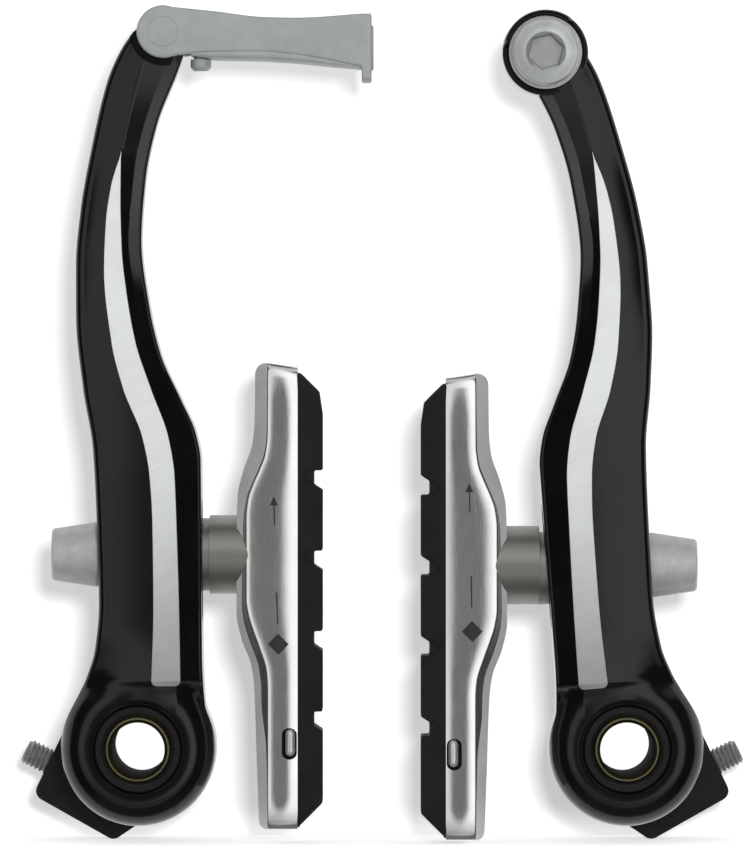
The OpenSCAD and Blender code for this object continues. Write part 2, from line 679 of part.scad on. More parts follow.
module brake_shoe() {
  color([0.82, 0.83, 0.84]) difference() {
    translate([shoe_t, 0, 0])
      loft([for (r = shoe_rings) [for (p = shoe_ring(r[0], r[1])) [p[0], p[1], r[0]]]]);
    shoe_channel();
    // seat for the inner cup, and the stud's hole
    rod(inner_cup_r + loose_gap, -shoe_bevel - 2 * over, 0);
    rod(stud_r + seat_gap, -over, shoe_t - tongue_d - 1);
    translate([pin_x, shoe_half + over, pin_z]) disc(pin_wire + seat_gap, 0, 2 * shoe_half + 2 * over);
    // pocket for the pin's bent end
    translate([pin_x - pin_wire - 0.3, -shoe_half - over, pin_z - pin_wire - 0.25])
      cube([2 * pin_wire + 0.6, over + 1, 4.6]);
  }
}

module pad_insert(slant) {
  // heights between the grooves' floor edges
  groove_mid = pad_up - 17.4;
  floor_w = groove_w - 0.7;
  color([0.12, 0.12, 0.12]) difference() {
    union() {
      translate([shoe_t + seat_gap, shoe_half - 0.2, 0])
        slab(0, 2 * shoe_half - 0.4) difference() {
          polygon([[0, insert_start], [rubber_t, insert_start + rubber_t],
            [rubber_t, pad_up - 8], [rubber_t - 0.5, pad_up - 4.6], [0, pad_up - 1.4]]);
          for (i = [0:3]) {
            top = groove_mid - i * groove_pitch + slant * floor_w / 2;
            polygon([[rubber_t + over, top], [rubber_t - groove_d, top],
              [rubber_t - groove_d, top - slant * floor_w],
              [rubber_t + over, top - slant * (groove_w + 0.15)]]);
          }
        }
      translate([shoe_t + 0.1, 0, insert_start]) linear_extrude(insert_end - insert_start)
        polygon([[0, -channel_half + 0.8], [-tongue_d, -channel_half + 0.1],
          [-tongue_d, channel_half - 0.1], [0, channel_half - 0.8]]);
    }
    translate([pin_x, shoe_half + over, pin_z]) disc(pin_wire + seat_gap, 0, 2 * shoe_half + 2 * over);
  }
}

// Wire pin across the channel, with its front end bent over in the shoe's pocket
module pad_pin() {
  bend = pin_wire * 1.2;
  color([0.75, 0.75, 0.73]) translate([pin_x, 0, pin_z]) union() {
    rotate([90, 0, 0]) translate([0, 0, -shoe_half + 0.5]) cylinder(r = pin_wire, h = 2 * shoe_half - 0.7);
    translate([0, -shoe_half + 0.2, 0]) sphere(r = pin_wire);
    translate([0, -shoe_half + 0.2, 0]) cylinder(r = pin_wire, h = 3 - bend / 2);
    translate([0, -shoe_half + 0.2, 3 - bend / 2]) sphere(r = pin_wire);
  }
}

// Distance from the seat's centre to the nut's tip
nut_tip = outer_cup_far + flat_t + nut_len;

module shoe_stud(cup_far) {
  color([0.68, 0.69, 0.7]) rod(stud_r, -nut_tip + nut_len * 0.55, cup_far + shoe_t - tongue_d - 1.05);
}

module shoe_nut() {
  color([0.62, 0.63, 0.61]) mirrored_seat() difference() {
    union() {
      rod(nut_r, nut_tip - nut_len, nut_tip - nut_len + 0.6);
      translate([nut_tip - nut_len + 0.6, 0, 0]) rotate([0, 90, 0])
        cylinder(r1 = nut_r, r2 = nut_tip_r, h = nut_len - 0.9);
      translate([nut_tip - 0.3, 0, 0]) rotate([0, 90, 0])
        cylinder(r1 = nut_tip_r, r2 = nut_tip_r - 0.3, h = 0.3);
    }
    rod(stud_r + seat_gap, 0, nut_tip - nut_len * 0.5);
    translate([nut_tip - nut_len * 0.5, 0, 0]) rotate([0, 90, 0])
      cylinder(d = hex_key / cos(30), h = nut_len, $fn = 6);
  }
}

/* Cable link, drawn about its pin */

top_edge = [[1.4, link_end_r - 0.25], [7.8, 3.05], [15, 2.2], [20, 2.1], [link_len - 1.5, 2.7]];
bottom_edge = [[1.6, 0.4 - link_end_r], [7, -3.1], [14, -3.05], [19.1, -3.4], [23.8, -4.1],
  [link_len - 1.5, -5.3]];
noodle_z = -2.2;
link_wall = 1.5;
link_stations = [for (i = [0:8]) lerp(1.4, link_len - 0.1, i / 8)];

module link_side() {
  polygon(concat(
    arc(0, 0, link_end_r, 70, 292, 14),
    [for (u = link_stations) if (u > 2) [u, curve(bottom_edge, u)]],
    [for (i = [8:-1:1]) [link_stations[i], curve(top_edge, link_stations[i])]]
  ));
}

module cable_link() {
  web = 1.1;
  gap = arm_tongue / 2 + 0.1;
  web_rings = [for (u = [4.2, 6, 9, 13, 17, 21, 25, 28, link_len - 1]) u];
  color([0.66, 0.69, 0.7]) difference() {
    union() {
      slab(pad_w + gap, pad_w + link_half) link_side();
      slab(pad_w - link_half, pad_w - gap) link_side();
      // rounded fold along the bottom, which joins the two sides
      slab(pad_w - link_half + 0.5, pad_w + link_half - 0.5) polygon(concat(
        [for (u = web_rings) [u, curve(bottom_edge, u) - 0.7]],
        [for (i = [len(web_rings) - 1:-1:0])
          [web_rings[i], curve(bottom_edge, web_rings[i]) - 0.7 + web]]
      ));
      // end plate, with a low collar round the guide's hole
      translate([link_len - link_wall, -pad_w - link_half, -7.4])
        cube([link_wall, 2 * link_half, 7.4 + 2.6]);
      translate([0, -pad_w, noodle_z]) rod(noodle_r + 0.9, link_len - 0.5, link_len + 0.3);
    }
    translate([0, -pad_w, noodle_z]) rod(noodle_r, link_len - 2 * link_wall, link_len + over);
    translate([link_len - 2 * link_wall, -pad_w - 1.2, noodle_z]) cube([3 * link_wall, 2.4, 7]);
    disc(link_pin_r + seat_gap, pad_w - link_half - over, pad_w + link_half + over);
    translate([stop_u, -pad_w, -8]) cylinder(r = stop_r + seat_gap, h = 7);
  }
}

stop_u = 5.6;
stop_r = 1.05;

// Stop riveted in the fold: it meets the arm when the link hangs too low
module link_stop() {
  low = curve(bottom_edge, stop_u) - 0.7;
  color([0.62, 0.64, 0.64]) translate([stop_u, -pad_w, low]) union() {
    translate([0, 0, -loose_gap - 1.2]) cylinder(r = 1.55, h = 1.2);
    translate([0, 0, -loose_gap - 1.7]) cylinder(r1 = 1.1, r2 = 1.55, h = 0.5);
    translate([0, 0, -loose_gap - 0.5]) cylinder(r = stop_r, h = 1.8);
  }
}

module link_pin() {
  color([0.6, 0.62, 0.6]) disc(link_pin_r, pad_w - link_half, pad_w + link_half);
}

/* Cable anchor, drawn about its boss */

module anchor_washer() {
  color([0.66, 0.68, 0.68]) difference() {
    disc(anchor_washer_r, boss_face + seat_gap, boss_face + anchor_washer_t);
    disc(stud_r + loose_gap, boss_face - over, boss_face + 3);
    // groove that the cable is pressed into
    translate([0, -boss_face - seat_gap, 0]) rod(0.6, -boss_r, boss_r);
  }
}

module anchor_bolt() {
  seat = boss_face + anchor_washer_t + seat_gap;
  dome = (head_r * head_r + head_h * head_h) / (2 * head_h) + 1.2;
  color([0.62, 0.64, 0.64]) difference() {
    union() {
      disc(stud_r, arm_top_back + 1, seat + 0.5);
      intersection() {
        disc(head_r, seat, seat + head_h);
        translate([0, -seat - head_h + dome, 0]) sphere(r = dome);
      }
    }
    rotate([0, 8, 0]) translate([0, -seat - head_h + 2.2, 0]) rotate([90, 0, 0])
      cylinder(d = hex_key / cos(30), h = 4, $fn = 6);
  }
}

/* Pieces of the left side */

module left_arm() on_left() lean(left_lean) arm(true);
module left_pivot_bush() on_left() pivot_bush();
module left_bearing_sleeve() on_left() bearing_sleeve();
module left_return_spring() on_left() return_spring(left_lean);
module left_spring_holder() on_left() spring_holder();
module left_tension_screw() on_left() tension_screw();
module left_locating_pin() on_left() locating_pin();
module left_spring_peg() on_left() lean(left_lean) spring_peg();
module on_left_pad() on_left() at_pad(left_pad_z, left_lean) children();
module on_left_seat() on_left() at_arm_seat(left_pad_z, left_lean) children();
module left_brake_shoe() on_left_pad() translate([left_cup_far, 0, 0]) brake_shoe();
module left_pad_insert() on_left_pad() translate([left_cup_far, 0, 0]) pad_insert(1);
module left_pad_pin() on_left_pad() translate([left_cup_far, 0, 0]) pad_pin();
module left_shoe_stud() on_left_pad() shoe_stud(left_cup_far);
module left_inner_dome() on_left_seat() dome_washer(seat_u);
module left_inner_cup() on_left_pad() cup_washer(inner_cup_r, left_cup_far);
module left_outer_dome() on_left_seat() mirrored_seat() dome_washer(seat_u);
module left_outer_cup() on_left_pad() mirrored_seat() cup_washer(outer_cup_r, outer_cup_far);
module left_flat_washer() on_left_pad() flat_washer();
module left_shoe_nut() on_left_pad() shoe_nut();
module on_link_pin() on_left() lean(left_lean) translate([pin_u, 0, arm_height]) children();
module left_link() on_link_pin() cable_link();

/* Pieces of the right side */

module right_arm() on_right() lean(right_lean) arm(false);
module right_pivot_bush() on_right() pivot_bush();
module right_bearing_sleeve() on_right() bearing_sleeve();
module right_return_spring() on_right() return_spring(right_lean);
module right_spring_holder() on_right() spring_holder();
module right_tension_screw() on_right() tension_screw();
module right_locating_pin() on_right() locating_pin();
module right_spring_peg() on_right() lean(right_lean) spring_peg();
module on_right_pad() on_right() at_pad(right_pad_z, right_lean) children();
module on_right_seat() on_right() at_arm_seat(right_pad_z, right_lean) children();
module right_brake_shoe() on_right_pad() translate([right_cup_far, 0, 0]) brake_shoe();
module right_pad_insert() on_right_pad() translate([right_cup_far, 0, 0]) pad_insert(-1);
module right_pad_pin() on_right_pad() translate([right_cup_far, 0, 0]) pad_pin();
module right_shoe_stud() on_right_pad() shoe_stud(right_cup_far);
module right_inner_dome() on_right_seat() dome_washer(seat_u);
module right_inner_cup() on_right_pad() cup_washer(inner_cup_r, right_cup_far);
module right_outer_dome() on_right_seat() mirrored_seat() dome_washer(seat_u);
module right_outer_cup() on_right_pad() mirrored_seat() cup_washer(outer_cup_r, outer_cup_far);
module right_flat_washer() on_right_pad() flat_washer();
module right_shoe_nut() on_right_pad() shoe_nut();
module on_anchor() on_right() lean(right_lean) translate([boss_u, 0, boss_z]) children();

left_arm();
left_pivot_bush();
left_bearing_sleeve();
left_return_spring();
left_spring_holder();
left_tension_screw();
left_locating_pin();
left_spring_peg();
left_brake_shoe();
left_pad_insert();
left_pad_pin();
left_shoe_stud();
left_inner_dome();
left_inner_cup();
left_outer_dome();
left_outer_cup();
left_flat_washer();
left_shoe_nut();
left_link();  // cable_link
on_link_pin() link_pin();
on_link_pin() link_stop();
right_arm();
right_pivot_bush();
right_bearing_sleeve();
right_return_spring();
right_spring_holder();
right_tension_screw();
right_locating_pin();
right_spring_peg();
right_brake_shoe();
right_pad_insert();
right_pad_pin();
right_shoe_stud();
right_inner_dome();
right_inner_cup();
right_outer_dome();
right_outer_cup();
right_flat_washer();
right_shoe_nut();
on_anchor() anchor_bolt();
on_anchor() anchor_washer();
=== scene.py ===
"""Looks of a pair of linear-pull brake arms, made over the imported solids.

Lengths inside the classes are millimetres in an arm frame: u runs from the pivot towards the
rim, w is the height in front of the mounting plane and z runs up the arm. Layout.world turns
them into metres in the shared frame.
"""

import logging
import math
from dataclasses import dataclass
from enum import Enum

import bmesh
import bpy
import numpy as np
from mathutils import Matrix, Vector


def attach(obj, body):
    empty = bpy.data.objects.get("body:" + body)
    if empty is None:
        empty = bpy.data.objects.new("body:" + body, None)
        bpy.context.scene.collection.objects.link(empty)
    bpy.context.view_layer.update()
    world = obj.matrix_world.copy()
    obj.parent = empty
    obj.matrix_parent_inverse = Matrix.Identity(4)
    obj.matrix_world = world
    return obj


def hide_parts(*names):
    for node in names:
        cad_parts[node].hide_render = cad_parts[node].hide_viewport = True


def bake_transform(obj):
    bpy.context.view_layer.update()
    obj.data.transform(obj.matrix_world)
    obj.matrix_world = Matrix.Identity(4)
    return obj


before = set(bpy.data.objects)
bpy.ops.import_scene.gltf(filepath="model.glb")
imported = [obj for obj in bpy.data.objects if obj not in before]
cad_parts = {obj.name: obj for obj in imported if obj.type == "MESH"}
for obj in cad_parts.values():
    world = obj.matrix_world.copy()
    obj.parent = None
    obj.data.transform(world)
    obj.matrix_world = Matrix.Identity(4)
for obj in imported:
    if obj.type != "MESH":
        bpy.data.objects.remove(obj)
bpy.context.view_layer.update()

log = logging.getLogger("brake")
Array = np.ndarray
Object = bpy.types.Object
Colour = tuple[float, float, float]
MM = 0.001
SPACING = 73.0
PAD_W = 17.4


class Side(Enum):
    """The two arms, with the sign of x on their side."""

    LEFT = -1
    RIGHT = 1

    @property
    def word(self) -> str:
        """The side's name in node and body names."""
        return self.name.lower()


@dataclass(frozen=True)
class Layout:
    """Where one arm and its pad stand."""

    side: Side
    lean: float
    pad_z: float
    cup_far: float
    groove_slant: int
    marks_z: tuple[float, float, float]
    marks_slope: float
    seat_u: float = 4.8

    def world(self, p: Array, leaning: bool = True) -> Array:
        """Arm frame to shared frame.

        Args:
            p: points (u, w, z) in millimetres.
            leaning: False for what stays level while the arm leans.

        Returns:
            Points in metres. u and z turn by the lean, then x is half the spacing less u.
        """
        a = math.radians(self.lean if leaning else 0.0)
        u = p[..., 0] * math.cos(a) + p[..., 2] * math.sin(a)
        z = p[..., 2] * math.cos(a) - p[..., 0] * math.sin(a)
        x = self.side.value * (SPACING / 2 - u)
        return np.stack([x, -p[..., 1], z], -1) * MM

    def pad(self, p: Array) -> Array:
        """Points of the pad, drawn about its seat's centre, to metres in the shared frame."""
        a = math.radians(self.lean)
        origin = [
            self.seat_u * math.cos(a) + self.pad_z * math.sin(a),
            PAD_W,
            self.pad_z * math.cos(a) - self.seat_u * math.sin(a),
        ]
        return self.world(p + np.array(origin), leaning=False)


@dataclass(frozen=True)
class Curve:
    """Smooth monotone curve through (position, value) points, flat beyond its ends."""

    points: tuple[tuple[float, float], ...]

    def __call__(self, x: Array) -> Array:
        """Value at x: cubic between neighbours, with the harmonic mean of their slopes."""
        at, value = np.array(self.points, float).T
        x = np.asarray(x, float)
        rise = np.diff(value) / np.diff(at)
        both = rise[:-1] * rise[1:]
        mean = np.where(both > 0, 2 * both / (rise[:-1] + rise[1:] + 1e-12), 0.0)
        slope = np.concatenate([rise[:1], mean, rise[-1:]])
        i = np.clip(np.searchsorted(at, x, side="right") - 1, 0, len(rise) - 1)
        h = np.diff(at)[i]
        t = np.clip((x - at[i]) / h, 0, 1)
        near = value[i] * (1 + 2 * t) + h * slope[i] * t
        far = value[i + 1] * (3 - 2 * t) - h * slope[i + 1] * (1 - t)
        return near * (1 - t) ** 2 + far * t**2


def lerp(a: Array, b: Array, t: Array) -> Array:
    """Straight blend from a to b."""
    return a + (b - a) * t


def smooth_max(a: Array, b: Array, k: float) -> Array:
    """The larger of two heights, with a fillet of about k where they cross."""
    h = np.clip(k - np.abs(a - b), 0, None) / k
    return np.maximum(a, b) + h * h * k / 4


def quads(rows: int, cols: int, wrap: bool) -> list[list[int]]:
    """Faces between neighbouring rows and columns of a grid.

    Args:
        rows: number of rows.
        cols: number of points in a row.
        wrap: True joins a row's last point to its first.

    Returns:
        Lists of four vertex numbers.
    """
    r = np.arange(rows - 1)[:, None] * cols
    c = np.arange(cols if wrap else cols - 1)[None, :]
    a, b = r + c, r + (c + 1) % cols
    return np.stack([a, b, b + cols, a + cols], -1).reshape(-1, 4).tolist()


def solid(name: str, points: Array, faces: list[list[int]], kinds: Array | None = None) -> Object:
    """A mesh object with doubles merged and faces pointing outwards.

    Args:
        name: the piece's name.
        points: vertices in metres.
        faces: vertex numbers of each face.
        kinds: material number of each face, or None for all 0.

    Returns:
        The object, linked to the scene.
    """
    mesh = bpy.data.meshes.new(name)
    mesh.from_pydata(points.reshape(-1, 3).tolist(), [], faces)
    if kinds is not None:
        mesh.polygons.foreach_set("material_index", kinds.astype(np.int32))
    bm = bmesh.new()
    bm.from_mesh(mesh)
    bmesh.ops.remove_doubles(bm, verts=bm.verts, dist=2e-6)
    bmesh.ops.recalc_face_normals(bm, faces=bm.faces)
    bm.to_mesh(mesh)
    bm.free()
    obj = bpy.data.objects.new(name, mesh)
    bpy.context.scene.collection.objects.link(obj)
    return obj


def loft(rings: Array, name: str, kinds: Array | None = None) -> Object:
    """Closed skin over rings of points in metres, with flat ends unless the last ring is the first.

    Args:
        rings: array of rings by points by 3.
        name: the piece's name.
        kinds: material number of each face between two rings, or None.

    Returns:
        The object.
    """
    rows, cols = rings.shape[:2]
    caps = [list(range(cols)), list(range((rows - 1) * cols, rows * cols))]
    if np.allclose(rings[0], rings[-1]):
        caps = []
    if kinds is not None:
        kinds = np.concatenate([kinds.ravel(), [0] * len(caps)])
    return solid(name, rings, quads(rows, cols, True) + caps, kinds)


def outline_normals(outline: Array) -> Array:
    """Unit normals of a closed outline, pointing out of it, at its points."""
    along = np.roll(outline, -1, 0) - np.roll(outline, 1, 0)
    x, y = outline.T
    turn = np.sign(np.sum(x * np.roll(y, -1) - np.roll(x, -1) * y))
    out = np.stack([along[:, 1], -along[:, 0]], -1) * turn
    return out / np.maximum(np.linalg.norm(out, axis=1, keepdims=True), 1e-9)


def pillow(outline: Array, low: float, high: float, r: float, steps: int = 4) -> Array:
    """Rings of a slab whose rims are rounded.

    Each ring is the outline drawn in by r(1 - sin t) while the height runs r(1 - cos t) from
    the face, for t from 90 to 0 degrees at the low face and back at the high one.

    Args:
        outline: points in the slab's plane.
        low: height of one face.
        high: height of the other face.
        r: radius of the rims.
        steps: rings in each rim.

    Returns:
        Rings of (x, y, height).
    """
    t = np.linspace(0, math.pi / 2, steps)
    drawn = np.concatenate([r * (1 - np.sin(t)), r * (1 - np.sin(t[::-1]))])
    height = np.concatenate([low + r * (1 - np.cos(t)), high - r * (1 - np.cos(t[::-1]))])
    flat = outline[None] - outline_normals(outline)[None] * drawn[:, None, None]
    tall = np.broadcast_to(height[:, None, None], flat.shape[:2] + (1,))
    return np.concatenate([flat, tall], -1)


def turned(profile: Array, u: float, z: float, n: int = 96) -> Array:
    """Rings of a profile of (radius, w) turned about an axis along w through u and z."""
    a = np.linspace(0, 2 * math.pi, n, endpoint=False)[None, :]
    r, w = profile[:, 0:1], profile[:, 1:2]
    return np.stack([u + r * np.cos(a), w + 0 * a, z + r * np.sin(a)], -1)


def fillet(a: Array, b: Array, c: Array, r: float, n: int = 6) -> Array:
    """Arc of radius r in the corner at b, tangent to its sides towards a and c."""
    to_a, to_c = (a - b) / np.linalg.norm(a - b), (c - b) / np.linalg.norm(c - b)
    half = math.acos(float(np.clip(to_a @ to_c, -1, 1))) / 2
    middle = b + (to_a + to_c) / np.linalg.norm(to_a + to_c) * r / math.sin(half)
    back = (b - middle) / np.linalg.norm(b - middle)
    t = np.linspace(1, -1, n) * (math.pi / 2 - half)
    t = t * np.sign(to_a[0] * to_c[1] - to_a[1] * to_c[0])
    x = back[0] * np.cos(t) - back[1] * np.sin(t)
    y = back[0] * np.sin(t) + back[1] * np.cos(t)
    return middle + r * np.stack([x, y], -1)


def rounded(corners: list[tuple[float, float, float]], n: int = 6) -> Array:
    """Outline through corners of (x, y, radius), each rounded by its radius."""
    p = np.array(corners, float)
    parts = []
    for i in range(len(p)):
        a, b, c = p[i - 1, :2], p[i, :2], p[(i + 1) % len(p), :2]
        parts.append(fillet(a, b, c, p[i, 2], n) if p[i, 2] > 0 else b[None])
    return np.concatenate(parts)


def bake(obj: Object, angle: float = 30.0) -> Object:
    """Applies an object's modifiers, then shades it smooth but for edges above the angle."""
    graph = bpy.context.evaluated_depsgraph_get()
    graph.update()
    mesh = bpy.data.meshes.new_from_object(obj.evaluated_get(graph))
    obj.modifiers.clear()
    obj.data = mesh
    mesh.shade_smooth()
    mesh.set_sharp_from_angle(angle=math.radians(angle))
    return obj


def combine(obj: Object, tools: list[Object], operation: str) -> Object:
    """Cuts the tools out of a piece, or joins them to it, and removes them."""
    for tool in tools:
        step = obj.modifiers.new("shape", "BOOLEAN")
        step.object, step.operation, step.solver = tool, operation, "EXACT"
    bake(obj)
    for tool in tools:
        bpy.data.objects.remove(tool)
    return obj


def gather(name: str, parts: list[Object]) -> Object:
    """One object that holds the meshes of several, which are removed."""
    bm = bmesh.new()
    for part in parts:
        bm.from_mesh(part.data)
    mesh = bpy.data.meshes.new(name)
    bm.to_mesh(mesh)
    bm.free()
    for part in parts:
        bpy.data.objects.remove(part)
    obj = bpy.data.objects.new(name, mesh)
    bpy.context.scene.collection.objects.link(obj)
    return obj


class Graph:
    """Short calls for building a node tree."""

    def __init__(self, tree: bpy.types.NodeTree) -> None:
        """Empties the tree."""
        self.tree = tree
        tree.nodes.clear()

    def node(self, kind: str, feeds: dict | None = None, **settings: object) -> bpy.types.Node:
        """A node of a kind.

        Args:
            kind: node type without its ShaderNode prefix.
            feeds: input name or number to a constant or an output socket.
            settings: the node's own properties.

        Returns:
            The node.
        """
        made = self.tree.nodes.new("ShaderNode" + kind)
        for key, value in settings.items():
            setattr(made, key, value)
        for key, value in (feeds or {}).items():
            if isinstance(value, bpy.types.NodeSocket):
                self.tree.links.new(value, made.inputs[key])
            else:
                made.inputs[key].default_value = value
        return made

    def math(self, operation: str, *values: object) -> bpy.types.NodeSocket:
        """Output of a Math node over constants and sockets."""
        feeds = dict(enumerate(values))
        return self.node("Math", feeds, operation=operation).outputs[0]

    def step(self, value: object, low: float, high: float, a: float, b: float) -> bpy.types.NodeSocket:
        """a below low, b above high and a smooth step between them."""
        feeds = {"Value": value, "From Min": low, "From Max": high, "To Min": a, "To Max": b}
        return self.node("MapRange", feeds, interpolation_type="SMOOTHSTEP").outputs[0]

    def mix(self, factor: object, a: object, b: object) -> bpy.types.NodeSocket:
        """Colour between a and b."""
        feeds = {0: factor, 6: a, 7: b}
        return self.node("Mix", feeds, data_type="RGBA").outputs[2]


@dataclass(frozen=True)
class Finish:
    """A surface: its colours, gloss and grain. Lengths are in millimetres.

    A broad noise drifts the colour between the tints, and a fine one, stretched and turned,
    raises the grain, swings the roughness and takes the streak off the colour. The low share
    of the colour is painted shade that darkens it towards the pivots' height. The bore share
    darkens it inside the pivots' bores, partly for the duller bare metal there and partly as
    painted shade in the bore.
    """

    name: str
    tints: tuple[Colour, ...]
    metallic: float
    roughness: float
    patch: float = 4.0
    grain: float = 0.25
    height: float = 0.01
    swing: float = 0.05
    stretch: Colour = (1.0, 1.0, 1.0)
    turn: Colour = (0.0, 0.0, 0.0)
    streak: float = 0.0
    # Share of painted shade, darker towards the pivots' height.
    low: float = 0.0
    # Darkening inside the pivots' bores: partly the bare metal's own tone, partly painted shade in the bore.
    bore_tone_and_shade: float = 0.0
    specular: float = 0.5

    def build(self) -> bpy.types.Material:
        """The material, made once for each name."""
        if self.name in bpy.data.materials:
            return bpy.data.materials[self.name]
        material = bpy.data.materials.new(self.name)
        material.use_nodes = True
        g = Graph(material.node_tree)
        place = g.node("TexCoord").outputs["Object"]
        turn = tuple(math.radians(a) for a in self.turn)
        fine = g.node(
            "Mapping",
            {"Vector": place, "Rotation": turn, "Scale": self.stretch},
            vector_type="TEXTURE",
        ).outputs[0]
        drift = self.noise(g, place, self.patch, 4.0)
        ramp = g.node("ValToRGB", {"Fac": g.step(drift, 0.3, 0.7, 0.0, 1.0)})
        stops = ramp.color_ramp.elements
        for i, tint in enumerate(self.tints):
            at = i / max(len(self.tints) - 1, 1)
            stop = stops[i] if i < 2 else stops.new(at)
            stop.position, stop.color = at, (*tint, 1.0)
        grain = self.noise(g, fine, self.grain, 3.0)
        low, high = self.roughness - self.swing, self.roughness + self.swing
        at = g.node("SeparateXYZ", {0: place}).outputs
        off = g.math("SUBTRACT", g.math("ABSOLUTE", at[0]), SPACING / 2 * MM)
        axis = g.math("SQRT", g.math("ADD", g.math("MULTIPLY", off, off), g.math("MULTIPLY", at[2], at[2])))
        # Painted shade: the colour darkens towards the pivots' height by the low share.
        share = g.math("MULTIPLY", g.step(grain, 0.25, 0.75, 1 - self.streak, 1.0), g.step(at[2], -0.010, 0.052, 1 - self.low, 1.0))
        # Inside the bores the colour darkens by the bore share: partly duller bare metal, partly painted shade in the
        # bore.
        share = g.math("MULTIPLY", share, g.step(axis, 0.00445, 0.0046, 1 - self.bore_tone_and_shade, 1.0))
        rough = g.step(grain, 0.25, 0.75, low, high)
        if self.bore_tone_and_shade:
            rough = g.math("MAXIMUM", rough, g.step(axis, 0.00445, 0.0046, self.bore_tone_and_shade, 0.0))
        colour = g.node("VectorMath", {0: ramp.outputs[0], "Scale": share}, operation="SCALE").outputs[0]
        feeds = {
            "Base Color": colour,
            "Metallic": self.metallic,
            "Roughness": rough,
            "Specular IOR Level": self.specular,
            "Normal": g.node(
                "Bump", {"Height": grain, "Strength": 1.0, "Distance": self.height * MM}
            ).outputs[0],
        }
        shader = g.node("BsdfPrincipled", feeds)
        g.node("OutputMaterial", {"Surface": shader.outputs[0]})
        return material

    @staticmethod
    def noise(g: Graph, place: bpy.types.NodeSocket, size: float, detail: float) -> bpy.types.NodeSocket:
        """Noise whose lumps are about the size in millimetres."""
        feeds = {"Vector": place, "Scale": 1 / (size * MM), "Detail": detail, "Roughness": 0.6}
        return g.node("TexNoise", feeds).outputs[0]


PAINT = Finish(
    "gloss_black_paint", ((0.0030, 0.0032, 0.0036), (0.0048, 0.0050, 0.0055)), 0.0, 0.15,
    patch=9.0, grain=0.35, height=0.0012, swing=0.03, specular=0.36,
)
MILLED = Finish(
    "milled_aluminium", ((0.83, 0.85, 0.86), (0.76, 0.775, 0.785)), 0.28, 0.42,
    patch=14.0, grain=0.11, height=0.008, swing=0.10, stretch=(34.0, 1.0, 1.0), turn=(0.0, -28.0, 0.0),
    # low paints shade on the strip, darker towards the pivots' height.
    streak=0.10, low=0.78,
)
POLISHED = Finish(
    "polished_aluminium", ((0.84, 0.83, 0.82), (0.77, 0.75, 0.735)), 0.94, 0.12,
    patch=7.0, grain=0.12, height=0.0010, swing=0.05, stretch=(1.0, 1.0, 22.0), streak=0.05,
)
TUMBLED = Finish(
    "tumbled_aluminium", ((0.70, 0.70, 0.695), (0.62, 0.62, 0.615)), 0.40, 0.44,
    patch=5.0, grain=0.13, height=0.004, swing=0.06, streak=0.05,
)
RUBBER = Finish(
    "moulded_rubber", ((0.0070, 0.0072, 0.0075), (0.0105, 0.0105, 0.011)), 0.0, 0.62,
    patch=6.0, grain=0.14, height=0.008, swing=0.08, specular=0.22,
)
PLASTIC = Finish(
    "black_nylon", ((0.0045, 0.0045, 0.0048), (0.0070, 0.0070, 0.0074)), 0.0, 0.28,
    patch=5.0, grain=0.12, height=0.004, swing=0.06, specular=0.4,
)
CAST = Finish(
    "cast_alloy", ((0.41, 0.44, 0.445), (0.37, 0.395, 0.40)), 0.35, 0.48,
    patch=2.6, grain=0.16, height=0.009, swing=0.09, streak=0.08,
)
SINTERED = Finish(
    "sintered_steel", ((0.34, 0.335, 0.305), (0.26, 0.255, 0.23)), 0.55, 0.50,
    patch=0.9, grain=0.13, height=0.016, swing=0.12, streak=0.30,
)
PLATED_NUT = Finish(
    "frosted_steel", ((0.56, 0.57, 0.565), (0.48, 0.485, 0.48)), 0.50, 0.46,
    patch=1.6, grain=0.12, height=0.010, swing=0.10, streak=0.14,
)
NICKEL = Finish(
    "satin_nickel", ((0.58, 0.60, 0.60), (0.50, 0.515, 0.515)), 0.70, 0.34,
    patch=2.2, grain=0.1, height=0.003, swing=0.08, streak=0.06,
)
# Dark plated steel of the screws, also used on the bolt's socket walls as painted shade.
SCREW_AND_SOCKET_SHADE = Finish(
    "dark_plated_steel_and_socket_shade", ((0.36, 0.375, 0.36), (0.27, 0.28, 0.265)), 0.6, 0.40,
    patch=0.8, grain=0.1, height=0.006, swing=0.12, streak=0.20,
)
SPRING = Finish(
    "spring_wire", ((0.42, 0.43, 0.44), (0.33, 0.34, 0.35)), 0.9, 0.28,
    patch=3.0, grain=0.12, height=0.002, swing=0.06,
)
BUSH = Finish(
    "yellow_zinc",
    ((0.42, 0.40, 0.18), (0.50, 0.38, 0.20), (0.36, 0.42, 0.20), (0.50, 0.31, 0.24)), 0.80, 0.33,
    # The bore share darkens the inside of the bores: duller bare metal, and painted shade in the bore.
    patch=1.1, grain=0.1, height=0.004, swing=0.10, streak=0.25, bore_tone_and_shade=0.93,
)
ZINC_PIN = Finish(
    "bright_zinc", ((0.74, 0.74, 0.73), (0.64, 0.64, 0.63)), 0.75, 0.30,
    patch=0.9, grain=0.1, height=0.003, swing=0.08, streak=0.10,
)
INK = Finish(
    "printed_ink", ((0.012, 0.012, 0.013), (0.018, 0.018, 0.018)), 0.0, 0.45,
    patch=1.5, grain=0.1, height=0.001, swing=0.05,
)


def dress(obj: Object, *finishes: Finish) -> Object:
    """Gives an object's material slots their finishes, adding slots where they are missing."""
    for i, finish in enumerate(finishes):
        if i < len(obj.material_slots):
            obj.material_slots[i].material = finish.build()
        else:
            obj.data.materials.append(finish.build())
    return obj


def stand_for(obj: Object, node: str, body: str) -> None:
    """Lets a piece ride on a body in the place of a CAD node.

    Args:
        obj: the new piece.
        node: the CAD node that it replaces.
        body: the body that carries it.
    """
    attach(obj, body)
    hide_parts(node)
    log.info("%s stands for %s on %s, %d faces", obj.name, node, body, len(obj.data.polygons))


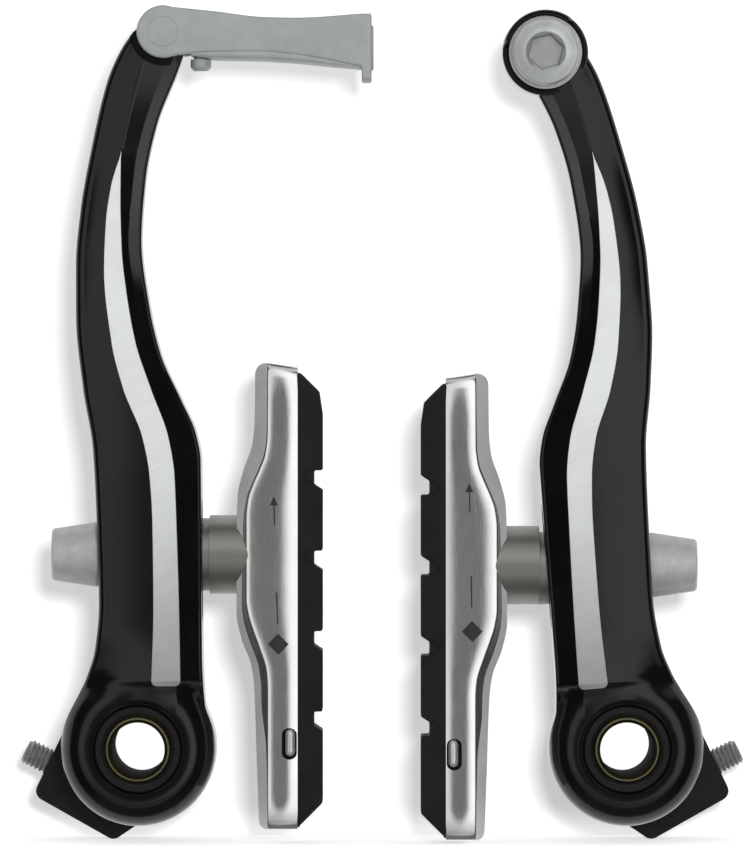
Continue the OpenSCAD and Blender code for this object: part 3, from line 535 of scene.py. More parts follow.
@dataclass
class Arm:
    """A forged arm: hub, shank with its machined strip, and a tongue or an anchor boss."""

    layout: Layout
    link_top: bool
    height: float = 107.2
    elbow: float = 46.0
    bow: float = 9.3
    upper_w: float = 10.0
    lower_out: float = 6.2
    lower_in: float = 9.6
    hub_r: float = 11.6
    hub_front: float = 25.0
    hub_back: float = 9.2
    strip_front: float = 26.0
    top_front: float = 22.3
    strip_w: float = 4.0
    sink: float = 0.12
    tongue_r: float = 4.0
    pin_u: float = 3.7
    core_r: float = 7.46
    boss_r: float = 6.4
    boss_face: float = 21.2

    def up(self, q: float) -> float:
        """Height at the fraction q of the upper arm."""
        return self.elbow + q * (self.height - self.elbow)

    def hub_half(self, z: Array) -> Array:
        """Half the width of the hub's circle at the height z."""
        return np.sqrt(np.clip(self.hub_r**2 - np.asarray(z, float) ** 2, 0, None))

    def outer(self, z: Array) -> Array:
        """Outer edge of the shank."""
        up, o, b = self.up, self.lower_out, self.bow
        return Curve((
            (2, -self.hub_half(2) + 0.6), (6.4, -self.hub_half(6.4) + 0.05), (10.7, -o - 1.5),
            (15, -o - 0.2), (21.5, -o + 0.4), (33, -o + 0.1), (up(-0.02), -o - 0.5),
            (up(0.13), 1.1 - b), (up(0.3), 0.05 - b), (up(0.43), -b), (up(0.56), 0.65 - b),
            (up(0.72), 2.35 - b), (up(0.88), 4.65 - b), (up(0.96), 6.8 - b), (up(1), 8.5 - b),
        ))(z)

    def inner(self, z: Array) -> Array:
        """Inner edge of the shank."""
        up, i, w = self.up, self.lower_in, self.upper_w - self.bow
        return Curve((
            (2, self.hub_half(2) - 0.6), (5.6, self.hub_half(5.6) - 0.05), (9, i + 0.2), (14, i),
            (self.elbow - 3, i - 0.2), (up(0.02), i - 0.95), (up(0.1), i - 3.1), (up(0.21), w + 2.75),
            (up(0.33), w + 1), (up(0.49), w - 0.2), (up(0.64), w + 0.4), (up(0.77), w + 2),
            (up(0.91), w + 5.3), (up(1), w + 7.2),
        ))(z)

    def strip_edges(self, z: Array) -> tuple[Array, Array]:
        """Outer and inner edges of the strip, which run on as one ridge above its tip."""
        up, b, h = self.up, self.bow, self.strip_w / 2
        mid, tip = self.lower_in - 5.5, self.strip_tip
        ridge = Curve(((tip, 6.82 - b), (up(0.8), 8 - b), (up(0.92), 9.9 - b), (up(1), 11.9 - b)))
        out = Curve((
            (10.4, mid - h - 0.1), (21, mid - h + 0.2), (34, mid - h + 0.05), (up(-0.08), mid - h - 0.4),
            (up(0.01), mid - h - 1.45), (up(0.125), 7.15 - b), (up(0.24), 5.35 - b), (up(0.42), 4.2 - b),
            (up(0.53), 4.45 - b), (up(0.62), 5.2 - b), (tip, 6.8 - b),
        ))
        inn = Curve((
            (10.4, mid + h + 0.4), (21, mid + h + 0.2), (34, mid + h - 0.2), (up(-0.08), mid + h - 0.5),
            (up(0.01), mid + h - 1.4), (up(0.125), 11.45 - b), (up(0.24), 9.1 - b), (up(0.36), 7.75 - b),
            (up(0.47), 7.0 - b), (up(0.59), 6.8 - b), (tip, 6.85 - b),
        ))
        below = z <= tip
        return np.where(below, out(z), ridge(z)), np.where(below, inn(z), ridge(z) + 0.05)

    @property
    def strip_tip(self) -> float:
        """Height of the strip's pointed top."""
        return self.up(0.707)

    def rows(self) -> Array:
        """Heights of the rings: by angle round the hub's lower half and the tongue, else even."""
        hub = -self.hub_r * np.cos(np.radians(np.linspace(2, 90, 36)))
        low = np.concatenate([np.linspace(0.35, 9.5, 27), np.linspace(9.65, 10.4, 6)])
        end = self.height if self.link_top else self.height - 2.5
        mid = np.linspace(10.4, self.strip_tip, 200)[1:]
        top = np.linspace(self.strip_tip, end, 48)[1:]
        tongue = self.height + self.tongue_r * np.sin(np.radians(np.linspace(6, 86, 14)))
        return np.concatenate([hub, low, mid, top, tongue if self.link_top else []])

    def skin(self) -> tuple[Array, Array]:
        """Rings of (u, w, z) and the material of each face.

        Across the front: the outer corner is a quarter circle, the slope is
        corner + (ridge - corner) t(1.3 - 0.3t), the strip is flat and slightly sunk, and the
        inner facet runs straight to its break and on to the rim. A fillet then joins this
        front to the hub's dome, which is a quarter ellipse about the pivot.
        """
        z = self.rows()[:, None]
        up = self.up
        front, top = self.strip_front, self.top_front
        half = self.hub_half(z)
        left = -smooth_max(half, np.where(z < 2, -99, -self.outer(z)), 0.5)
        right = smooth_max(half, np.where(z < 2, -99, self.inner(z)), 0.5)
        over = z > self.height
        round_top = np.sqrt(np.clip(self.tongue_r**2 - (z - self.height) ** 2, 0, None))
        left = np.where(over, self.pin_u - round_top, left)
        right = np.where(over, self.pin_u + round_top, right)

        ridge = Curve((
            (2, self.hub_front - 5), (7.2, self.hub_front - 1.4), (9.5, front - 0.7), (10.4, front),
            (self.elbow - 1, front), (up(0.23), lerp(front, top, 0.22)),
            (up(0.56), lerp(front, top, 0.6)), (up(0.9), top), (up(1.1), top - 0.2),
        ))(z)
        corner = Curve((
            (2, self.hub_front - 7), (6.4, self.hub_front - 5.6), (12, front - 2.4), (19, front - 1),
            (self.elbow, front - 1.1), (up(0.23), lerp(front, top, 0.22) - 1.05),
            (up(0.56), lerp(front, top, 0.6) - 0.95), (up(0.9), top - 0.85),
        ))(z)
        fall = Curve((
            (2, 0.6), (6.4, 2.8), (12, 2.3), (self.elbow, 2.2), (up(0.25), 2.25), (up(0.5), 2.55),
            (up(0.72), 3.15), (up(0.92), 3.2),
        ))(z)
        across = Curve(((self.elbow, 0.5), (up(0.25), 0.5), (up(0.49), 0.34), (up(0.6), 0.55), (up(0.8), 0.66)))(z)
        drop = Curve(((self.elbow, 0.5), (up(0.25), 0.5), (up(0.49), 0.17), (up(0.6), 0.25), (up(0.8), 0.36)))(z)
        back = Curve(((7, self.hub_back), (11, 9.6), (self.elbow, 9.6), (up(0.25), 10.6), (up(0.6), 12.4), (up(0.9), 13)))(z)

        wide = right - left
        edge, rim = np.minimum(1.2, wide * 0.2), np.minimum(0.45, wide * 0.08)
        out, inn = self.strip_edges(z)
        s = np.clip((10.3 - z) / 0.8, 0, 1)
        rounding = 0.7 * (1 - np.sqrt(1 - s * s))
        a = np.minimum(np.maximum(left + edge + 0.3, out + rounding), right - 3 * rim)
        b = np.minimum(np.maximum(a + 0.05, inn - rounding), right - 2 * rim)
        on_strip = (z >= 9.49) & (z <= self.strip_tip + 0.01)
        sink = np.where(on_strip, np.minimum(self.sink, (b - a) * 0.4), 0)
        wall = np.minimum(0.1, (b - a) / 4)
        bu, bw = lerp(b, right - rim, across), ridge - fall * drop

        c = np.radians(np.linspace(0, 90, 7))[None, :]
        t = np.linspace(0, 1, 17)[None, 1:]
        q = np.linspace(0, 1, 5)[None, :]
        f = np.linspace(0, 1, 9)[None, 1:]
        e = np.radians(np.linspace(0, 90, 6))[None, 1:]
        one = np.ones_like(z)
        u = np.concatenate([
            left + edge * (1 - np.cos(c)), lerp(left + edge, a, t), lerp(a + wall, b - wall, q),
            b * one, lerp(b, bu, f), lerp(bu, right - rim, f), right - rim + rim * np.sin(e),
        ], 1)
        w = np.concatenate([
            corner - edge + edge * np.sin(c), lerp(corner, ridge, t * (1.3 - 0.3 * t)),
            (ridge - sink) + 0 * q, ridge * one, lerp(ridge, bw, f), lerp(bw, ridge - fall, f),
            ridge - fall - rim + rim * np.cos(e),
        ], 1)
        strip_at = 7 + 16
        w = smooth_max(w - np.clip(2 - z, 0, None) * 1.3, self.dome(u, z), 3.4)

        k = np.minimum(0.7, wide * 0.1)
        v = np.linspace(0, 1, 5)[None, :]
        h = np.linspace(0.12, 0.88, 6)[None, :]
        r = np.radians(np.linspace(0, 90, 4))[None, :]
        u_back = np.concatenate([
            right + 0 * v, right - k * (1 - np.cos(r[:, 1:])), lerp(right - k, left + k, h),
            left + k * (1 - np.sin(r)), left + 0 * v[:, 1:],
        ], 1)
        hollow = 0.4 * np.sin(math.pi * h) * np.clip((z - 9) / 4, 0, 1)
        w_back = np.concatenate([
            lerp(w[:, -1:], back + k, v), back + k * (1 - np.sin(r[:, 1:])), back + hollow,
            back + k * (1 - np.cos(r)), lerp(back + k, w[:, :1], v[:, 1:]),
        ], 1)
        u, w = np.concatenate([u, u_back], 1), np.concatenate([w, w_back], 1)
        rings = np.stack([u, w, z + 0 * u], -1)
        kinds = np.zeros(u.shape, int)[:-1]
        rows_on = (on_strip[:-1] & on_strip[1:])[:, 0]
        kinds[np.ix_(rows_on, range(strip_at, strip_at + 4))] = 1
        return rings, kinds

    def dome(self, u: Array, z: Array) -> Array:
        """Height of the hub's front from the groove out to the rim.

        A quarter ellipse, which stops 12% short of its upright end under the shank.
        """
        start = 7.5
        r = np.hypot(u, z)
        under = np.clip((z - 1) / 7, 0, 1)
        under = under * under * (3 - 2 * under)
        s = np.clip((r - start) / (self.hub_r - start), 0, 1) * (1 - 0.12 * under)
        beyond = (4 - 2 * under) * np.clip(r - self.hub_r, 0, None)
        return self.hub_front - 5.1 + 5 * np.sqrt(1 - s * s) - beyond

    def tool(self, profile: list[tuple[float, float]], u: float, z: float) -> Object:
        """A turned solid about an axis along w, for cutting or joining."""
        rings = turned(np.array(profile, float), u, z)
        return loft(self.layout.world(rings), "tool")

    def bore(self, r: float, w0: float, w1: float, u: float = 0.0, z: float = 0.0) -> Object:
        """A plain cylinder along w."""
        return self.tool([(0, w0), (r, w0), (r, w1), (0, w1)], u, z)

    def slot(self, r: float, half: float, u0: float, u1: float) -> Object:
        """A slot along u for the pad's stud: two half circles of radius r, half apart."""
        a = np.radians(np.linspace(0, 180, 25))
        y = np.concatenate([r * np.cos(a), -r * np.cos(a)]) + PAD_W
        z = np.concatenate([half + r * np.sin(a), -half - r * np.sin(a)]) + 28.2
        ends = [np.stack([np.full_like(y, u), y, z], -1) for u in (u0, u1)]
        return loft(self.layout.world(np.stack(ends)), "tool")

    def core(self) -> Object:
        """The hub's ring: groove, face, recess for the sleeve's lip, and bore."""
        r, f, b = self.core_r, self.hub_front, self.hub_back
        profile = [
            (5.55, b + 0.1), (r, b + 0.1), (r, f - 0.5), (7.14, f - 0.52), (7.06, f - 0.4), (7.02, f - 0.06),
            (6.95, f), (6.73, f), (6.67, f - 0.06), (6.66, f - 2.0), (5.55, f - 2.02), (5.55, b + 0.1),
        ]
        rings = turned(np.array(profile, float), 0.0, 0.0, 128)
        return bake(loft(self.layout.world(rings), "core"))

    def boss(self) -> list[Object]:
        """The anchor's boss, and the wall that stands round its upper part.

        The wall's height over the boss is a smooth step in the angle, full between 25 and
        125 degrees and low elsewhere.
        """
        u, z, r, face = self.pin_u - 0.5, self.height - 2.5, self.boss_r, self.boss_face
        top = face + 0.3
        body = [(0, 12.7), (r - 0.6, 12.7), (r, 13.3), (r, top - 0.1), (r - 0.1, top), (0, top)]
        a = np.linspace(0, 2 * math.pi, 120, endpoint=False)
        away = np.abs((np.degrees(a) - 75 + 180) % 360 - 180)
        tall = 0.5 + 2.4 * np.clip((62 - away) / 8, 0, 1) ** 0.8
        ring = np.array([
            (0.03, -0.5, 0), (0.03, 0, 0.75), (0.1, 0, 0.93), (0.25, 0, 1.0), (0.5, 0, 1.0),
            (0.62, 0, 0.94), (0.7, 0, 0.8), (0.72, -0.5, 0), (0.03, -0.5, 0),
        ])
        radius, base, share = r - ring[:, 0:1], ring[:, 1:2], ring[:, 2:3]
        w = face + base + share * tall[None, :]
        rings = np.stack([u + radius * np.cos(a), w, z + radius * np.sin(a)], -1)
        return [self.tool(body, u, z), loft(self.layout.world(rings), "wall")]

    def build(self) -> Object:
        """The whole arm, cut and dressed."""
        rings, kinds = self.skin()
        word = self.layout.side.word
        obj = loft(self.layout.world(rings), f"{word}_forged_arm", kinds)
        dress(obj, PAINT, MILLED)
        pin, h = self.pin_u, self.height
        if not self.link_top:
            combine(obj, self.boss(), "UNION")
        tools = [
            self.bore(self.core_r, 8, 27), self.slot(3.5, 5.8, -1, 11), self.slot(6.35, 6.4, -12, 0),
            self.bore(1.27, 8, 13.6, 5.03, 43.0),
        ]
        if self.link_top:
            tools += [
                self.bore(5.1, PAD_W + 2.75, 26.5, pin, h), self.bore(5.1, 9, PAD_W - 2.75, pin, h),
                self.bore(2.3, 9, 27, pin, h),
            ]
        else:
            face = self.boss_face
            steps = [(0, 12), (2.97, 12), (2.97, face), (5.6, face), (5.6, 29), (0, 29)]
            tools.append(self.tool(steps, pin - 0.5, h - 2.5))
        combine(obj, tools, "DIFFERENCE")
        obj = gather(obj.name, [obj, self.core()])
        dress(obj, PAINT, MILLED)
        stand_for(obj, f"{word}_arm", f"{word}_arm")
        return obj


@dataclass
class AnchorBolt:
    """The cable anchor's button head, with a hexagon socket whose rim is countersunk."""

    layout: Layout
    u: float = 3.2
    z: float = 104.7
    seat: float = 22.83
    head_r: float = 4.95
    head_h: float = 2.95
    stud_r: float = 2.94
    key_r: float = 2.88
    depth: float = 2.2
    turn: float = 49.9

    def tool(self, profile: list[tuple[float, float]] | Array) -> Object:
        """A turned solid about the bolt's axis."""
        return loft(self.layout.world(turned(np.array(profile, float), self.u, self.z)), "tool")

    def socket(self) -> Object:
        """The hexagon, which narrows a little towards its floor. Its walls take the darker finish, as painted shade in
        the socket.
        """
        a = np.radians(self.turn + np.arange(0, 360, 60))
        top = self.seat + self.head_h
        levels = ((self.key_r - 0.28, top - self.depth), (self.key_r + 0.13, top + 1))
        rings = [np.stack([self.u + r * np.cos(a), 0 * a + w, self.z + r * np.sin(a)], -1) for r, w in levels]
        # The socket's faces take the second, darker finish: painted shade in the socket.
        tool = loft(self.layout.world(np.stack(rings)), "tool", np.ones((1, 6), int))
        return dress(tool, NICKEL, SCREW_AND_SOCKET_SHADE)

    def build(self) -> Object:
        """The bolt: a flat crown with a raised middle, a rounded shoulder and the stud."""
        seat, r = self.seat, self.head_r
        top = seat + self.head_h
        t = np.radians(np.linspace(0, 68, 6))
        across = np.append(np.linspace(r - 0.5, 2.4, 24), 0.0)
        crown = top - Curve(((2.6, 0.0), (2.95, 0.03), (3.2, 0.09), (3.5, 0.165), (3.8, 0.20), (4.45, 0.25)))(across)
        shoulder = np.stack([r - 0.5 + 0.5 * np.cos(t), crown[0] - 0.48 + 0.5 * np.sin(t)], -1)
        foot = [(0, 14.2), (self.stud_r, 14.2), (self.stud_r, seat), (r - 0.25, seat), (r - 0.06, seat + 0.08), (r, seat + 0.25)]
        rings = np.concatenate([np.array(foot), shoulder, np.stack([across, crown], -1)])
        obj = loft(self.layout.world(turned(rings, self.u, self.z)), "anchor_button_head")
        # The second slot darkens the socket's walls with painted shade.
        dress(obj, NICKEL, SCREW_AND_SOCKET_SHADE)
        sink = [(0, top - 0.6), (2.3, top - 0.434), (3.3, top + 0.143), (3.3, top + 1), (0, top + 1)]
        combine(obj, [self.tool(sink), self.socket()], "DIFFERENCE")
        stand_for(obj, "anchor_bolt", "right_arm")
        return obj


@dataclass
class Pad:
    """A pad: polished shoe with its printed marks, and the rubber in it.

    Points are (u, v, z) about the washer's seat on the shoe: u towards the rubber, v towards
    the front and z up.
    """

    layout: Layout
    up: float = 29.0
    down: float = 41.0
    half: float = 6.3
    thick: float = 7.1
    rubber_t: float = 3.7
    line: float = 0.34
    groove_w: float = 2.75
    groove_d: float = 1.3
    pitch: float = 12.0

    def place(self, p: Array) -> Array:
        """Shoe points to metres in the shared frame."""
        return self.layout.pad(p + np.array([self.layout.cup_far, 0.0, 0.0]))

    def front_t(self, z: Array) -> Array:
        """Distance from the rubber's boundary to the ridge of the front face."""
        return Curve((
            (-self.down, 4.1), (-20, 4.1), (-17.5, 4.25), (-13.5, 5.45), (-11.3, 6.25), (-9, 6.95), (-6.6, 7.3),
            (5.6, 7.3), (8.4, 7.0), (10.5, 6.3), (12.7, 5.35), (15, 4.5), (18, 4.15), (self.up, 4.1),
        ))(z)

    def side_t(self, z: Array) -> Array:
        """Distance from the rubber's boundary to the outermost side."""
        return Curve((
            (-self.down, 5.75), (-30, 6.15), (-20, 6.5), (-16.5, 6.95), (-12.4, 8.45), (-8.6, 9.15), (-5, 9.15),
            (5.5, 9.1), (9, 8.95), (12.7, 8.1), (16.6, 6.8), (20, 6.45), (self.up, 6.35),
        ))(z)

    def face_v(self, u: Array, z: Array) -> Array:
        """Height of the front face, u from its boundary: half less a parabola across and at the ends."""
        t = self.front_t(z)
        ends = np.clip((z - self.up + 8.5) / 8.5, 0, 1) ** 2 + np.clip((-self.down + 5 - z) / 5, 0, 1) ** 2
        return self.half - (0.24 + 0.14 * t) * (u / t - 0.58) ** 2 - 0.6 * ends

    def shoe(self) -> Object:
        """The shoe: a section carried along z.

        The front face is crowned. From its ridge the section falls by the tangent of its slope
        times its width: 14 degrees over a narrow line, 38 degrees over the polished share of the
        bevel, then 47 degrees on its tumbled side. The section shrinks in an arc at both ends,
        and the top end slopes by 1 - u / side times 0.95 mm towards the rubber.
        """
        z = np.concatenate([
            -self.down + 1.3 * (1 - np.cos(np.radians(np.linspace(4, 90, 9)))),
            np.linspace(-self.down + 1.6, self.up - 2.3, 150),
            self.up - 2.0 * (1 - np.sin(np.radians(np.linspace(0, 86, 11)))),
        ])[:, None]
        low = np.clip(1 - (z + self.down) / 1.3, 0, 1)
        high = np.clip(1 - (self.up - z) / 2.0, 0, 1)
        cut = 1.2 * (1 - np.sqrt(1 - low**2)) + 2.0 * (1 - np.sqrt(1 - high**2))
        t, side = self.front_t(z), self.side_t(z)
        face_u = t * np.linspace(0, 1, 29)[None, :]
        face_v = self.face_v(face_u, z)
        polish = Curve(((-self.down, 0.02), (-29, 0.15), (-22, 0.5), (-13, 0.5), (4, 0.35), (12, 0.1), (self.up, 0.04)))(z)
        bevel = side - t - self.line
        widths = np.concatenate([
            np.full_like(z, self.line / 2).repeat(2, 1), (bevel * polish / 4).repeat(4, 1),
            (bevel * (1 - polish) / 8).repeat(8, 1),
        ], 1)
        falls = widths * np.tan(np.radians([[14.0] * 2 + [38.0] * 4 + [47.0] * 8]))
        bevel_u = t + np.cumsum(widths, 1)
        bevel_v = face_v[:, -1:] - np.cumsum(falls, 1)
        rim_u = side - 0.12 * (1 - np.cos(np.radians([[40.0, 90.0]]))) + 0.02
        rim_v = bevel_v[:, -1:] - np.array([[0.12, 0.3]])
        u = np.concatenate([face_u, bevel_u, rim_u, rim_u[:, ::-1], bevel_u[:, ::-1], face_u[:, ::-1]], 1)
        v = np.concatenate([face_v, bevel_v, rim_v, -rim_v[:, ::-1], -bevel_v[:, ::-1], -face_v[:, ::-1]], 1)
        u = np.minimum(u, side - cut)
        v = v * (1 - 0.4 * cut / self.half)
        slope = 0.95 * (1 - u / side) * np.clip((z - self.up + 6) / 6, 0, 1)
        rings = np.stack([self.thick - u, v, z - slope], -1)
        matt = np.concatenate([0 * face_u[:, 1:], 0 * widths[:, :6], 0 * widths[:, 6:] + 1, 0 * rim_u + 1], 1)
        kinds = np.concatenate([matt, matt[:, -1:], matt[:, ::-1], 0 * matt[:, :1]], 1)[1:].astype(int)
        obj = loft(self.place(rings), f"{self.layout.side.word}_polished_shoe", kinds)
        tools = [
            self.rod(6.05, -3.8, 0.0), self.rod(2.97, -1.0, 3.3),
            self.box((self.thick - 2.85, self.thick + 1), (-4.6, 4.6), (-self.down - 1, self.up - 1.7)),
            self.pin_pocket(),
        ]
        dress(obj, POLISHED, TUMBLED)
        return combine(obj, tools, "DIFFERENCE")

    def rod(self, r: float, u0: float, u1: float) -> Object:
        """A cylinder along u about the stud."""
        a = np.linspace(0, 2 * math.pi, 72, endpoint=False)
        ends = [np.stack([np.full_like(a, u), r * np.cos(a), r * np.sin(a)], -1) for u in (u0, u1)]
        return loft(self.place(np.stack(ends)), "tool")

    def box(self, u: tuple[float, float], v: tuple[float, float], z: tuple[float, float]) -> Object:
        """A box between limits along u, v and z."""
        flat = np.array([(u[0], v[0]), (u[1], v[0]), (u[1], v[1]), (u[0], v[1])])
        rings = [np.concatenate([flat, np.full((4, 1), level)], 1) for level in z]
        return loft(self.place(np.stack(rings)), "tool")

    def pin_pocket(self) -> Object:
        """A round-ended pocket in the front face, close round the pin's bent end."""
        a = np.radians(np.linspace(0, 180, 13))
        u = 5.86 + 1.12 * np.concatenate([np.cos(a), -np.cos(a)])
        z = np.concatenate([-26.8 + 0.98 * np.sin(a), -29.55 - 0.98 * np.sin(a)])
        rings = [np.stack([u, np.full_like(u, v), z], -1) for v in (self.half - 2.3, 8.0)]
        return loft(self.place(np.stack(rings)), "tool")

    def outline(self) -> Array:
        """Side view of the rubber in (u, z): ends, corners and grooves with rounded corners."""
        t, top, bottom = self.rubber_t, self.up, -self.down + 0.3
        slant, w, d = self.layout.groove_slant, self.groove_w, self.groove_d
        corners = [(0, bottom, 0.25), (t, bottom + t, 0.6)]
        for i in (3, 2, 1, 0):
            edge = top - 17.4 - i * self.pitch + slant * (w - 0.7) / 2
            inside, mouth = edge - slant * (w - 0.7), edge - slant * (w + 0.15)
            cut = [(t, edge, 0.3), (t - d, edge, 0.35), (t - d, inside, 0.35), (t, mouth, 0.3)]
            corners += cut[::-1] if slant > 0 else cut
        corners += [(t, top - 8, 0.8), (t - 0.5, top - 4.6, 0.6), (0, top - 1.4, 0.3)]
        return rounded(corners, 5)

    def recess(self, z: float, front: int) -> Object:
        """A shallow round-ended recess that carries a groove on over a side of the rubber."""
        r, floor = (self.groove_w - 0.7) / 2, self.thick + self.rubber_t - self.groove_d
        a = np.radians(np.linspace(90, 270, 13))
        u = np.concatenate([floor - 0.5 + r * np.cos(a), [floor + 0.4, floor + 0.4]])
        y = np.concatenate([z + r * np.sin(a), [z - r, z + r]])
        rings = [np.stack([u, np.full_like(u, front * (self.half - v)), y], -1) for v in (0.55, -0.5)]
        return loft(self.place(np.stack(rings)), "tool")

    def rubber(self) -> Object:
        """The rubber: its outline as a slab with rounded rims, and a tongue in the channel."""
        flat = self.outline()
        rings = pillow(flat, -self.half + 0.2, self.half - 0.2, 0.22, 4)
        rings = np.stack([rings[..., 0] + self.thick + 0.02, rings[..., 2], rings[..., 1]], -1)
        body = loft(self.place(rings), "rubber")
        floors = [self.up - 17.4 - i * self.pitch for i in range(4)]
        combine(body, [self.recess(z, front) for z in floors for front in (-1, 1)], "DIFFERENCE")
        tongue = bake(self.box((self.thick - 2.8, self.thick + 0.3), (-4.2, 4.2), (-self.down + 0.3, self.up - 1.8)))
        return dress(gather(f"{self.layout.side.word}_rubber_insert", [body, tongue]), RUBBER)

    def mark(self, name: str, left: list[tuple[float, float]], right: list[tuple[float, float]]) -> Object:
        """A printed mark on the front face, 0.03 mm proud of its crown.

        Args:
            name: the mark's name.
            left: points (z, u) up its left edge.
            right: points (z, u) up its right edge.

        Returns:
            The mark: rows between its edges, each 9 points wide.
        """
        z = np.linspace(left[0][0], left[-1][0], 25)[:, None]
        across = np.linspace(0, 1, 9)[None, :]
        u = lerp(np.interp(z, *np.array(left).T), np.interp(z, *np.array(right).T), across)
        v = self.face_v(self.thick - u, z)
        rings = np.concatenate([
            np.stack([u, v + 0.03, z + 0 * u], -1), np.stack([u, v - 0.1, z + 0 * u], -1)[:, ::-1],
        ], 1)
        return dress(loft(self.place(rings), f"{self.layout.side.word}_{name}"), INK)

    def marks(self) -> list[Object]:
        """The arrow that points up, the line below it and the diamond."""
        tip, line, diamond = self.layout.marks_z
        thin, head, d = 0.1, 0.6, 1.56
        at = lambda z: 3.55 + self.layout.marks_slope * (8.7 - z)
        edge = lambda out, *levels: [(z, at(z) + out) for z in levels]
        bar = lambda z0, z1: (edge(-thin, z0, z1), edge(thin, z0, z1))
        low, high = diamond - d, diamond + d
        u = at(tip)
        return [
            self.mark("arrow_head", [(tip - 1.3, u - head), (tip, u - 0.02)], [(tip - 1.3, u + head), (tip, u + 0.02)]),
            self.mark("arrow_shaft", *bar(tip - 4.3, tip - 1.25)),
            self.mark("print_line", *bar(line - 4.7, line)),
            self.mark(
                "diamond", [edge(-0.02, low)[0], edge(-d, diamond)[0], edge(-0.02, high)[0]],
                [edge(0.02, low)[0], edge(d, diamond)[0], edge(0.02, high)[0]],
            ),
        ]

    def build(self) -> list[Object]:
        """Shoe, rubber and marks, riding on the pad."""
        word = self.layout.side.word
        shoe, rubber = self.shoe(), self.rubber()
        stand_for(shoe, f"{word}_brake_shoe", f"{word}_pad")
        stand_for(rubber, f"{word}_pad_insert", f"{word}_pad")
        marks = self.marks()
        for mark in marks:
            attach(mark, f"{word}_pad")
        return [shoe, rubber, *marks]


@dataclass
class CableLink:
    """The link on the left arm: two side plates, a fold below them and an end plate."""

    layout: Layout
    length: float = 31.2
    end_r: float = 3.95
    plate: float = 1.7
    tongue: float = 5.5
    pin_r: float = 2.25
    guide_r: float = 2.6
    guide_z: float = -2.2
    pin_u: float = 3.7
    height: float = 107.2

    def place(self, p: Array) -> Array:
        """Points (u, w, z) about the link's pin to metres in the shared frame."""
        return self.layout.world(p + np.array([self.pin_u, 0.0, self.height]))

    def bottom(self, u: Array) -> Array:
        """Lower edge of the side plates."""
        return Curve(((1.6, -3.55), (7, -3.1), (14, -3.05), (19.1, -3.4), (23.8, -4.1), (self.length - 1.5, -5.3)))(u)

    def top(self, u: Array) -> Array:
        """Upper edge of the side plates."""
        return Curve(((1.4, 3.7), (7.8, 3.05), (15, 2.2), (20, 2.1), (self.length - 1.5, 2.7)))(u)

    def slab(self, outline: Array, w0: float, w1: float, r: float) -> Object:
        """A slab of an outline in (u, z) between two heights, with rounded rims."""
        rings = pillow(outline, w0, w1, r, 5)
        return bake(loft(self.place(rings[..., [0, 2, 1]]), "slab"), 40)

    def rod(self, r: float, w0: float, w1: float) -> Object:
        """A cylinder along w about the pin."""
        rings = turned(np.array([(0, w0), (r, w0), (r, w1), (0, w1)], float), 0.0, 0.0, 64)
        return loft(self.place(rings), "tool")

    def along(self, profile: list[tuple[float, float]], z: float) -> Object:
        """A solid turned about an axis along u, from (radius, u) points."""
        rings = turned(np.array(profile, float), 0.0, 0.0, 64)
        rings = np.stack([rings[..., 1], PAD_W + rings[..., 0], z + rings[..., 2]], -1)
        return loft(self.place(rings), "tool")

    def block(self, u: tuple[float, float], w: tuple[float, float], z: tuple[float, float]) -> Object:
        """A box between limits along u, w and z."""
        flat = np.array([(u[0], w[0]), (u[1], w[0]), (u[1], w[1]), (u[0], w[1])])
        rings = [np.concatenate([flat, np.full((4, 1), level)], 1) for level in z]
        return loft(self.place(np.stack(rings)), "tool")

    def build(self) -> Object:
        """The link, bored for its pin and slotted for the cable guide."""
        gap, half = self.tongue / 2 + 0.1, self.tongue / 2 + 0.1 + self.plate
        a = np.radians(np.linspace(70, 292, 40))
        u = np.linspace(2.2, self.length - 0.1, 40)
        side = np.concatenate([
            self.end_r * np.stack([np.cos(a), np.sin(a)], -1),
            np.stack([u, self.bottom(u)], -1), np.stack([u, self.top(u)], -1)[::-1],
        ])
        f = np.concatenate([[4.2], np.linspace(4.35, self.length - 1, 40)])
        section = rounded([(-half + 0.1, -1.1, 0.72), (half - 0.1, -1.1, 0.72), (half - 0.1, 0.45, 0.3), (-half + 0.1, 0.45, 0.3)])
        sag = Curve(((4.2, 0.25), (8, 0.85), (16, 1.0), (24, 0.7), (self.length - 2, 0.15)))(f)
        fold = np.stack([
            f[:, None] + 0 * section[None, :, 0], PAD_W + section[None, :, 0] + 0 * f[:, None],
            self.bottom(f)[:, None] + np.where(section[:, 1] < 0, 1, 0.3)[None, :] * section[None, :, 1] * np.where(section[:, 1] < 0, 1, 1)[None, :] * sag[:, None],
        ], -1)
        end = rounded([(-half, -7.4, 0.7), (half, -7.4, 0.7), (half, 2.6, 0.5), (-half, 2.6, 0.5)])
        rings = pillow(end, self.length - 1.5, self.length, 0.3)
        rings = np.stack([rings[..., 2], rings[..., 0] + PAD_W, rings[..., 1]], -1)
        obj = self.slab(side, PAD_W + gap, PAD_W + half, 0.42)
        parts = [
            self.slab(side, PAD_W - half, PAD_W - gap, 0.42),
            bake(loft(self.place(fold), "fold"), 40),
            bake(loft(self.place(rings), "plate")),
            self.along([(0, self.length - 0.6), (3.5, self.length - 0.6), (3.5, self.length + 0.15), (3.3, self.length + 0.3), (0, self.length + 0.3)], self.guide_z),
        ]
        combine(obj, parts, "UNION")
        n = self.guide_r
        tools = [
            self.rod(self.pin_r + 0.03, 9, 27), self.along([(0, 27), (n, 27), (n, 33), (0, 33)], self.guide_z),
            self.block((28.2, 33), (PAD_W - 1.2, PAD_W + 1.2), (self.guide_z, 5)),
            self.block((4.5, 6.7), (PAD_W - 1.1, PAD_W + 1.1), (-7, 0)),
        ]
        combine(obj, tools, "DIFFERENCE")
        obj.name = "link_casting"
        dress(obj, CAST)
        stand_for(obj, "cable_link", "cable_link")
        return obj


